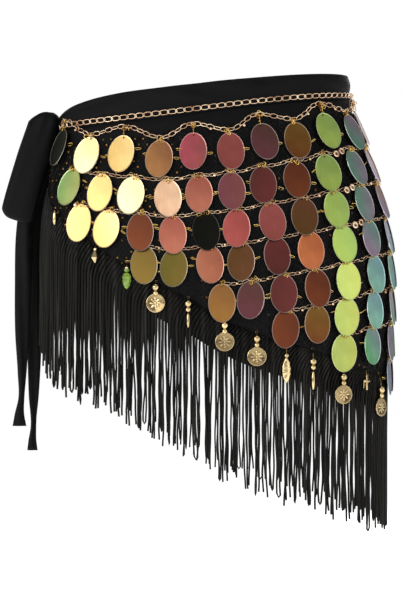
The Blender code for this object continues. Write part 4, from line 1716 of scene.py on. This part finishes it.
    def build_chain(self, hooks: list[Stop]) -> Piece:
        """Makes the row's chain, with beads and washers on it.

        Args:
            hooks: Where the chain holds each disc.

        Returns:
            The chain's piece.
        """
        chance = random.Random(CHAIN_SEED + self.number)
        form = self.cut.form
        gold = bmesh.new()
        first = self.number == 0
        link = (self.first_link if first else self.link).mesh("cable_link")
        pitch = self.first_pitch if first else self.pitch
        ChainRun(form, self.chain_stops(hooks)).lay(gold, link, pitch, (38, -38))
        bead, washer = bead_mesh(self.bead), washer_mesh()
        for number, (near, far) in enumerate(zip(hooks, hooks[1:])):
            middle = (near.share + far.share) / 2
            level = (near.height + far.height) / 2 - self.sag
            order = min(abs(self.distances()[number + end][0]) for end in (0, 1))
            if order in self.plan.washers_after:
                for share, rise in ((0.40, 0.001), (0.62, -0.002)):
                    at = near.share + (far.share - near.share) * share
                    out = self.washer_out + share * 0.001
                    stamp(gold, washer, form.frame_on(at, level + rise, out))
            elif chance.random() < self.bead_share:
                drop = chance.uniform(-0.0008, 0.0016)
                stamp(gold, bead, form.frame_on(middle, level - drop, self.bead_out))
        if self.plan.end_bead:
            for hook in (hooks[0], hooks[-1]):
                gap = self.end_bead_gap / form.half_girth(hook.height)
                beside = math.copysign(gap, hook.share)
                end = form.frame_on(hook.share + beside, hook.height - 0.002, self.bead_out)
                stamp(gold, bead, end @ Matrix.Scale(self.end_bead_size, 4))
        discard(link, bead, washer)
        return make_piece(f"row_chain_{self.number + 1}", gold, GOLD)

    def build(self) -> None:
        """Makes the discs, the chain that they hang from and what hooks them to it."""
        hooks = self.build_discs()
        self.build_hooks(hooks)
        self.build_chain(hooks)


def bead_mesh(radius: float, long: float = 1.0, rings: int = 6) -> Mesh:
    """A round or drawn-out bead.

    Args:
        radius: Its radius across.
        long: How many times longer it is than wide.
        rings: How many rings of faces it has from top to bottom.

    Returns:
        The bead, with its length along Y.
    """
    bead = bmesh.new()
    upright = Matrix.Diagonal((1, long, 1, 1)) @ turn_by(90, "X")
    bmesh.ops.create_uvsphere(
        bead, u_segments=2 * rings - 2, v_segments=rings, radius=radius, matrix=upright
    )
    return tool_mesh("bead", bead)


def washer_mesh(outer: float = 0.0036, hole: float = 0.0014, thick: float = 0.0008) -> Mesh:
    """A small flat washer that faces outward."""
    washer = bmesh.new()
    for radius in (outer, hole):
        bmesh.ops.create_circle(washer, cap_ends=False, segments=16, radius=radius)
    bmesh.ops.bridge_loops(washer, edges=washer.edges[:])
    bmesh.ops.solidify(washer, geom=washer.faces[:], thickness=thick)
    return tool_mesh("washer", washer)


# ---- charms -------------------------------------------------------------------------------------


class CharmKind(Enum):
    """What hangs under the hem."""

    GOLD_DROP = "gold drop"
    CRYSTAL = "crystal"
    COIN = "coin"
    STICK = "stick"
    LEAF = "leaf"
    CROSS = "cross"


@dataclass(frozen=True)
class CharmPlan:
    """A charm's name, kind and place: where its first bead starts and where it ends."""

    name: str
    kind: CharmKind
    share: float
    start: float
    end: float
    glass: bool = False


CHARM_PLANS = (
    CharmPlan("drop_gold", CharmKind.GOLD_DROP, 0.851, -0.112, -0.127),
    CharmPlan("drop_crystal", CharmKind.CRYSTAL, 0.744, -0.151, -0.166),
    CharmPlan("drop_green", CharmKind.CRYSTAL, 0.678, -0.170, -0.193, glass=True),
    CharmPlan("coin_1", CharmKind.COIN, 0.620, -0.189, -0.207),
    CharmPlan("stick_1", CharmKind.STICK, 0.555, -0.2055, -0.232),
    CharmPlan("coin_2", CharmKind.COIN, 0.481, -0.2275, -0.246),
    CharmPlan("coin_3", CharmKind.COIN, 0.416, -0.241, -0.261),
    CharmPlan("leaf_1", CharmKind.LEAF, 0.355, -0.258, -0.288),
    CharmPlan("stick_2", CharmKind.STICK, 0.301, -0.264, -0.295),
    CharmPlan("coin_4", CharmKind.COIN, 0.233, -0.280, -0.300),
    CharmPlan("cross_1", CharmKind.CROSS, 0.177, -0.280, -0.296),
    CharmPlan("coin_5", CharmKind.COIN, 0.126, -0.294, -0.314),
)


@dataclass
class Charm:
    """One charm on its wire, on one side of the hips; its lean is in degrees."""

    cut: ScarfCut
    plan: CharmPlan
    side: int
    out: float = 0.0066
    hook_out: float = 0.0022
    hook_rise: float = 0.003
    top_bead: float = 0.0037
    bead: float = 0.0029
    bead_pitch: float = 0.0056
    coin: float = 0.0096
    coin_thick: float = 0.0013
    wire: float = 0.00045
    coin_lean: float = 3.0
    coin_dots: int = 22
    coin_petals: int = 8
    stick: float = 0.0017
    drop: float = 0.0022
    leaf_drop: float = 0.004
    crystal_drop: float = 0.0030
    glass_drop: float = 0.0060

    def add(self, target: Shape, tool: Mesh, matrix: Matrix) -> None:
        """Stamps a shape that is used once."""
        stamp(target, tool, matrix)
        discard(tool)

    def rod(self, target: Shape, place: Matrix, radius: float, long: float, rings: int) -> None:
        """Adds a drawn-out bead that hangs from a place."""
        self.add(target, bead_mesh(radius, long / 2 / radius, rings), place @ slide(-long / 2))

    def hook(self, target: Shape) -> None:
        """Adds the wire from the hem down to the charm, with a loop at its top."""
        share = self.side * self.plan.share
        form = self.cut.form
        top = self.cut.hem.read(self.plan.share) + self.hook_rise
        route = [
            form.place(share, top, self.hook_out),
            form.place(share, (top + self.plan.start) / 2, (self.hook_out + self.out) / 2 + 0.001),
            form.place(share, self.plan.start - 0.001, self.out),
        ]
        darkening = target.verts.layers.float.get("darkening") or target.verts.layers.float.new("darkening")
        wire = Threads(self.wire, 1, routes=[route]).mesh("wire")
        self.add(target, wire, Matrix.Identity(4))
        loop = Link(0.0030, 0.0030, 0.0007, 10, 4).mesh("loop")
        self.add(target, loop, form.frame_on(share, top, self.hook_out))
        # The wire and its loop are all marked for darkening, so they take the dark end of the gold's
        # tone.
        for vertex in target.verts:
            vertex[darkening] = 0.85

    def two_beads(self, target: Shape, place: Matrix) -> None:
        """Adds the two round beads that most charms hang under, the larger one on top."""
        for radius, down in ((self.top_bead, 0.38), (self.bead, 1.45)):
            drop = slide(-down * self.bead_pitch)
            self.add(target, bead_mesh(radius, rings=9), place @ drop)

    def coin_mesh(self) -> Mesh:
        """A coin with a raised rim, a ring of dots and a plain rosette on both faces."""
        coin = bmesh.new()
        bmesh.ops.create_cone(
            coin,
            cap_ends=True,
            segments=36,
            radius1=self.coin,
            radius2=self.coin,
            depth=self.coin_thick,
        )
        faces = [face for face in coin.faces if abs(face.normal.z) > 0.9]
        bmesh.ops.inset_individual(coin, faces=faces, thickness=0.0010, depth=-0.00028)
        # Painted shade: the sunken field of each face is marked for darkening, as the shade that would
        # gather in the recess.
        darkening = coin.verts.layers.float.new("darkening")
        for vertex in (vertex for face in faces for vertex in face.verts):
            vertex[darkening] = 0.6
        dot = bead_mesh(0.00050, rings=4)
        petal = bead_mesh(0.00118, 2.3, rings=5)
        for face in (1, -1):
            level = face * (self.coin_thick / 2 - 0.00022)
            for number in range(self.coin_dots):
                turn = Matrix.Rotation(math.tau * number / self.coin_dots, 4, "Z")
                stamp(coin, dot, turn @ Matrix.Translation((0, self.coin - 0.0019, level)))
            for number in range(self.coin_petals):
                turn = Matrix.Rotation(math.tau * number / self.coin_petals, 4, "Z")
                flat = Matrix.Diagonal((1, 1, 0.4, 1))
                stamp(coin, petal, turn @ Matrix.Translation((0, 0.0039, level)) @ flat)
            boss = Matrix.Translation((0, 0, level)) @ Matrix.Diagonal((1.2, 0.65, 0.6, 1))
            stamp(coin, petal, boss)
        discard(dot, petal)
        return tool_mesh("coin", coin)

    def leaf_mesh(self, long: float) -> Mesh:
        """A narrow leaf with a raised midrib and slanting veins, its tip down."""
        leaf = bmesh.new()
        bmesh.ops.create_grid(leaf, x_segments=6, y_segments=18, size=1.0)
        for vertex in leaf.verts:
            across, down = vertex.co.x, (1 - vertex.co.y) / 2
            wide = 0.0042 * math.sin(math.pi * min(down * 0.97 + 0.02, 1.0)) ** 0.7
            vein = 0.00035 * math.sin(9 * math.pi * down - 4 * abs(across))
            rib = 0.0011 * (1 - abs(across)) ** 2
            vertex.co = Vector((across * wide, -down * long, rib + vein * abs(across)))
        bmesh.ops.solidify(leaf, geom=leaf.faces[:], thickness=0.0007)
        return tool_mesh("leaf", leaf)

    def cross_mesh(self, long: float) -> Mesh:
        """A small plain cross with rounded ends."""
        cross = bmesh.new()
        middle = slide(-long * 0.42)
        for wide, tall in ((0.0022, long), (long * 0.62, 0.0022)):
            shift = slide(-long / 2) if tall == long else middle
            scale = Matrix.Diagonal((wide, tall, 0.0016, 1))
            made = bmesh.ops.create_cube(cross, size=1.0, matrix=shift @ scale)
            edges = {edge for vertex in made["verts"] for edge in vertex.link_edges}
            rounding = {"offset": 0.0005, "segments": 2, "profile": 0.5, "material": -1}
            bmesh.ops.bevel(cross, geom=list(edges), affect="EDGES", **rounding)
        self.add(cross, bead_mesh(0.0016, rings=6), middle)
        return tool_mesh("cross", cross)

    def briolette_mesh(self, long: float) -> Mesh:
        """A glass drop cut in bands of facets, wide above its middle and drawn to a point."""
        drop = bmesh.new()
        upright = turn_by(90, "X")
        bmesh.ops.create_uvsphere(drop, u_segments=8, v_segments=6, radius=1.0, matrix=upright)
        for vertex in drop.verts:
            x, y, z = vertex.co
            wide = 0.0046 * (1 + 0.25 * y)
            vertex.co = Vector((x * wide, (y - 1) / 2 * long, z * wide * 0.8))
        return tool_mesh("briolette", drop)

    def crystal_mesh(self, long: float) -> Mesh:
        """A faceted drop, widest below its middle."""
        crystal = bmesh.new()
        for low, high, y0, y1 in ((0.0043, 0.0014, 0.55, 0.0), (0.0010, 0.0043, 1.0, 0.55)):
            size = {"radius1": low, "radius2": high, "depth": abs(y1 - y0) * long}
            upright = slide(-(y0 + y1) / 2 * long) @ turn_by(-90, "X")
            bmesh.ops.create_cone(crystal, cap_ends=True, segments=8, matrix=upright, **size)
        inner = [f for f in crystal.faces if len(f.verts) == 8 and f.calc_area() > 2.5e-5]
        bmesh.ops.delete(crystal, geom=inner, context="FACES_ONLY")
        bmesh.ops.remove_doubles(crystal, verts=crystal.verts, dist=1e-5)
        return tool_mesh("crystal", crystal)

    def build_glass(self, place: Matrix, long: float, node: str) -> Piece:
        """Makes the glass that hangs under a charm's cap: a small bead and a drop."""
        glass = bmesh.new()
        self.add(glass, bead_mesh(0.0026, 0.8, rings=5), place @ slide(-0.004))
        drop = self.briolette_mesh(long - self.glass_drop)
        self.add(glass, drop, place @ slide(-self.glass_drop))
        return make_piece(f"{node}_glass", glass, GREEN_GLASS, [node], smooth=False)

    def build(self) -> Piece:
        """Makes the charm, with any glass of its own as a second piece; returns its metal."""
        plan, form = self.plan, self.cut.form
        node = f"{plan.name}_{'front' if self.side > 0 else 'back'}"
        share = self.side * plan.share
        surface = form.frame_on(share, plan.start, self.out)
        place = turned_place(surface.translation, surface.col[0].to_3d(), Vector((0, 0, 1)))
        long = plan.start - plan.end
        shape = bmesh.new()
        self.hook(shape)
        if plan.kind in (CharmKind.COIN, CharmKind.STICK):
            self.two_beads(shape, place)
        if plan.kind is CharmKind.COIN:
            lean = turn_by(self.coin_lean * self.side, "Z")
            self.add(shape, self.coin_mesh(), place @ slide(-long) @ lean)
        elif plan.kind is CharmKind.STICK:
            beads = 2 * self.bead_pitch
            self.rod(shape, place @ slide(-beads), self.stick, long - beads, 8)
        elif plan.kind is CharmKind.LEAF:
            self.add(shape, bead_mesh(self.bead * 0.9, rings=8), place @ slide(-0.002))
            leaf = self.leaf_mesh(long - self.leaf_drop)
            self.add(shape, leaf, place @ slide(-self.leaf_drop))
        elif plan.kind is CharmKind.CROSS:
            self.add(shape, self.cross_mesh(long), place)
        elif plan.kind is CharmKind.GOLD_DROP:
            self.rod(shape, place, self.drop, long, 9)
        else:
            self.add(shape, bead_mesh(0.0020, 0.8, rings=8), place @ slide(-0.0016))
            if plan.glass:
                self.build_glass(place, long, node)
            else:
                crystal = self.crystal_mesh(long - self.crystal_drop)
                self.add(shape, crystal, place @ slide(-self.crystal_drop))
        smooth = plan.kind is not CharmKind.CRYSTAL
        return make_piece(f"{node}_charm", shape, WORN_GOLD, [node], smooth=smooth)


# ---- tie ----------------------------------------------------------------------------------------


@dataclass
class Tie:
    """The knot, the half bow's loop and the two tails."""

    cut: ScarfCut
    share: float = 0.95
    height: float = -0.020
    out: float = 0.0075
    knot_half: tuple[float, float, float] = (0.0095, 0.013, 0.0145)
    band_face: float = 0.0034
    loop_width: float = 0.034
    loop_length: float = 0.119
    loop_lean: float = math.radians(17.0)
    loop_half_gap: float = 0.0065
    loop_start: tuple[float, float, float] = (-0.003, -0.0095, 0.0130)
    wall: float = 0.0011
    tail_flat_width: float = 0.016
    tail_short: tuple[tuple[float, float, float, float, float], ...] = (
        (-0.022, -0.170, -0.020, 0.013, 0.003),
        (-0.070, -0.184, -0.012, 0.018, 0.003),
        (-0.130, -0.194, -0.011, 0.018, 0.004),
        (-0.190, -0.196, -0.011, 0.017, 0.003),
        (-0.240, -0.197, -0.011, 0.014, 0.003),
        (-0.280, -0.197, -0.011, 0.009, 0.002),
        (-0.308, -0.198, -0.011, 0.006, 0.001),
        (-0.324, -0.200, -0.011, 0.010, 0.001),
        (-0.336, -0.200, -0.011, 0.0145, 0.000),
    )
    tail_long: tuple[tuple[float, float, float, float, float], ...] = (
        (-0.023, -0.167, -0.013, 0.011, 0.002),
        (-0.070, -0.177, -0.002, 0.016, 0.003),
        (-0.130, -0.184, -0.001, 0.018, 0.004),
        (-0.190, -0.185, 0.000, 0.017, 0.003),
        (-0.256, -0.185, 0.000, 0.014, 0.003),
        (-0.304, -0.1855, 0.000, 0.010, 0.002),
        (-0.340, -0.186, 0.000, 0.0055, 0.001),
        (-0.352, -0.187, 0.000, 0.008, 0.001),
        (-0.362, -0.187, 0.000, 0.0105, 0.000),
    )

    def seat(self) -> Matrix:
        """The knot's turned place on the band."""
        return self.cut.form.frame_on(self.share, self.height, self.out)

    def build_knot(self) -> Piece:
        """Makes the knot: a wrapped lump with creases that slant round it, flat on the band."""
        lump = bmesh.new()
        bmesh.ops.create_uvsphere(lump, u_segments=40, v_segments=26, radius=1.0)
        bmesh.ops.transform(lump, matrix=turn_by(90, "X"), verts=lump.verts)
        outward, round_it, up = self.knot_half
        floor = self.band_face - self.out
        for vertex in lump.verts:
            x, y, z = vertex.co
            slant = y + 0.55 * x
            crease = 0.10 * math.exp(-(((slant - 0.12) / 0.13) ** 2))
            pleats = 0.035 * math.sin(9 * slant + 2 * x) + 0.015 * math.sin(21 * slant - 3 * x)
            size = 1 - crease - abs(pleats)
            vertex.co = Vector((x * round_it, y * up, z * outward)) * size
            vertex.co.z = max(vertex.co.z, floor)
        chart = lump.loops.layers.uv.new("cloth")
        for face in lump.faces:
            for loop in face.loops:
                loop[chart].uv = (loop.vert.co.x, loop.vert.co.y)
        seat = self.seat()
        bmesh.ops.transform(lump, matrix=seat, verts=lump.verts)
        for vertex in lump.verts:
            ahead = max(vertex.co.x - seat.translation.x + 0.004, 0.0)
            vertex.co.z -= 0.55 * ahead * max(vertex.co.z - seat.translation.z, 0.0) / up
        bmesh.ops.recalc_face_normals(lump, faces=lump.faces)
        piece = make_piece("knot_cloth", lump, JERSEY, ["knot"])
        soften(piece)
        return piece

    def loop_surface(self, across: float, up: float) -> Vector:
        """The loop's middle face: down in front, round its fold and back up behind."""
        start = self.seat().translation + Vector(self.loop_start)
        down = Vector((-math.sin(self.loop_lean), 0, -math.cos(self.loop_lean)))
        sideways = Vector((math.cos(self.loop_lean), 0, -math.sin(self.loop_lean)))
        run, edge = 0.002 + 0.996 * up, (2 * across - 1) ** 2
        fallen = math.sin(math.pi * run) ** 0.8
        opened = min(fallen / 0.42, 1.0)
        reach = self.loop_length * fallen
        reach += (0.0115 * edge - 0.004 * (2 * across - 1)) * (1 - opened)
        reach -= 0.007 * edge**2 * fallen**6
        leaf = math.cos(math.pi * run)
        side = (across - 0.5) * self.loop_width * (0.94 + 0.06 * opened) - 0.0015 * leaf
        roll = 0.0055 * max(1 - 5 * across, 0.0) ** 2 + 0.0015 * max(6 * across - 5, 0.0) ** 2
        creases = (1 - opened) * math.sin(5.5 * math.pi * across + 0.6)
        creases += 0.6 * opened * math.sin(3.1 * math.pi * across + 4 * run)
        gap = self.loop_half_gap * math.sin(math.tau * run)
        gap += (0.0009 + 0.0036 * (1 - edge) + 0.0008 * creases - roll) * leaf
        return start + down * reach + sideways * side + Vector((0, -1, 0)) * gap

    def build_loop(self) -> Piece:
        size = (self.loop_width, 2 * self.loop_length)
        strip = cloth_grid(16, 96, self.loop_surface, size)
        area = flat_area(strip)
        piece = make_piece("bow_loop_cloth", strip, JERSEY, ["bow_loop"])
        thicken(piece, self.wall, 0.0)
        return piece

    def build_tail(self, node: str, rows: Sequence[Sequence[float]], phase: float) -> Piece:
        """Args:
            node: The solid that it stands for.
            rows: Height, x, y, width and cup of the tail from its top down.
            phase: Where its creases start.

        Returns:
            The tail's piece.
        """
        across_at, depth_at, width_at, cup_at = (
            Table(tuple((row[0], row[column]) for row in rows)) for column in (1, 2, 3, 4)
        )
        top, bottom = rows[0][0], rows[-1][0]

        def surface(across: float, up: float) -> Vector:
            """The tail's middle face."""
            height, side = bottom + up * (top - bottom), 2 * across - 1
            cup = cup_at.read(height) * (1 - side * side)
            fold = 0.0009 * math.sin(2.4 * math.pi * across + 26 * height + phase)
            x = across_at.read(height) + side * width_at.read(height) / 2
            return Vector((x, depth_at.read(height) - cup - fold, height))

        size = (self.tail_flat_width, top - bottom)
        strip = cloth_grid(12, 90, surface, size)
        area = flat_area(strip)
        piece = make_piece(f"{node}_cloth", strip, JERSEY, [node])
        thicken(piece, self.wall, 0.0)
        return piece

    def build(self) -> None:
        """Makes the knot, the loop and both tails."""
        self.build_knot()
        self.build_loop()
        self.build_tail("tail_short", self.tail_short, 0.0)
        self.build_tail("tail_long", self.tail_long, 2.0)


# ---- studio -------------------------------------------------------------------------------------


@dataclass
class Studio:
    """A pale floor, soft lights and the camera."""

    floor_height: float = -0.62
    floor_size: float = 12.0
    camera_height: float = -0.2045
    camera_x: float = -0.0103
    distance: float = 3.0
    picture_height: float = 0.632
    sensor: float = 36.0
    world_light: float = 0.30
    lit_point: tuple[float, float, float] = (0.0, 0.0, -0.18)
    lights: tuple[tuple[str, Vector, float, float], ...] = (
        ("key", Vector((-1.7, -2.2, 0.6)), 1.5, 30.0),
        ("left", Vector((-2.2, -0.9, 0.3)), 1.0, 14.0),
        ("fill", Vector((0.5, -2.9, 0.8)), 2.0, 13.0),
        ("side", Vector((2.2, -0.9, 0.3)), 1.6, 13.0),
        ("top", Vector((0.0, -0.2, 2.0)), 1.6, 12.0),
        ("back", Vector((0.3, 2.4, 0.6)), 1.6, 20.0),
    )

    def build_floor(self) -> None:
        """Lays the floor."""
        floor = bmesh.new()
        low, half = Matrix.Translation((0, 0, self.floor_height)), self.floor_size / 2
        bmesh.ops.create_grid(floor, x_segments=1, y_segments=1, size=half, matrix=low)
        mesh = as_mesh("floor", floor)
        mesh.materials.append(PAPER.material())
        sheet = put("floor", mesh)

    def build_lights(self) -> None:
        """Hangs the soft lights and sets the white surround."""
        for name, place, size, power in self.lights:
            lamp = bpy.data.lights.new(name, "AREA")
            lamp.size = size
            lamp.energy = power
            holder = put(name, lamp)
            holder.location = place
            aim = Vector(self.lit_point) - place
            holder.rotation_euler = aim.to_track_quat("-Z", "Y").to_euler()
        world = bpy.data.worlds.new("surround")
        world.use_nodes = True
        surround = world.node_tree.nodes["Background"]
        surround.inputs["Color"].default_value = (1.0, 1.0, 1.0, 1.0)
        bench = Bench(world.node_tree)
        seen = bench.add("LightPath").outputs["Is Camera Ray"]
        strength = bench.sum_up("MULTIPLY_ADD", seen, 1.0 - self.world_light, self.world_light)
        bench.feed(surround.inputs["Strength"], strength)
        bpy.context.scene.world = world

    def build_camera(self) -> None:
        """Sets up the camera, level with the middle of the scarf and square to its front."""
        lens = bpy.data.cameras.new("camera")
        lens.lens = self.sensor * self.distance / self.picture_height
        lens.sensor_width = self.sensor
        camera = put("camera", lens)
        camera.location = (self.camera_x, -self.distance, self.camera_height)
        camera.rotation_euler = (math.radians(90), 0, 0)
        bpy.context.scene.camera = camera

    def build(self) -> None:
        """Makes the floor, the lights and the camera."""
        self.build_camera()
        self.build_floor()
        self.build_lights()
        bpy.context.scene.view_settings.view_transform = "Standard"


# ---- assembly -----------------------------------------------------------------------------------


def main() -> None:
    """Builds the scarf from its cloth outward."""
    logging.basicConfig(level=logging.INFO, format="%(message)s")
    cut = ScarfCut()
    Studio().build()
    NetPanel(cut).build()
    Waistband(cut).build()
    Fringe(cut, "fringe_front_cords", 1, "fringe_front", 11).build()
    Fringe(cut, "fringe_back_cords", -1, "fringe_back", 12).build()
    MainChain(cut).build()
    for number, plan in enumerate(ROW_PLANS):
        DiscRow(cut, number, plan, DiscShape()).build()
    for plan in CHARM_PLANS:
        for side in (1, -1):
            Charm(cut, plan, side).build()
    Tie(cut).build()


if __name__ == "__main__":
    main()
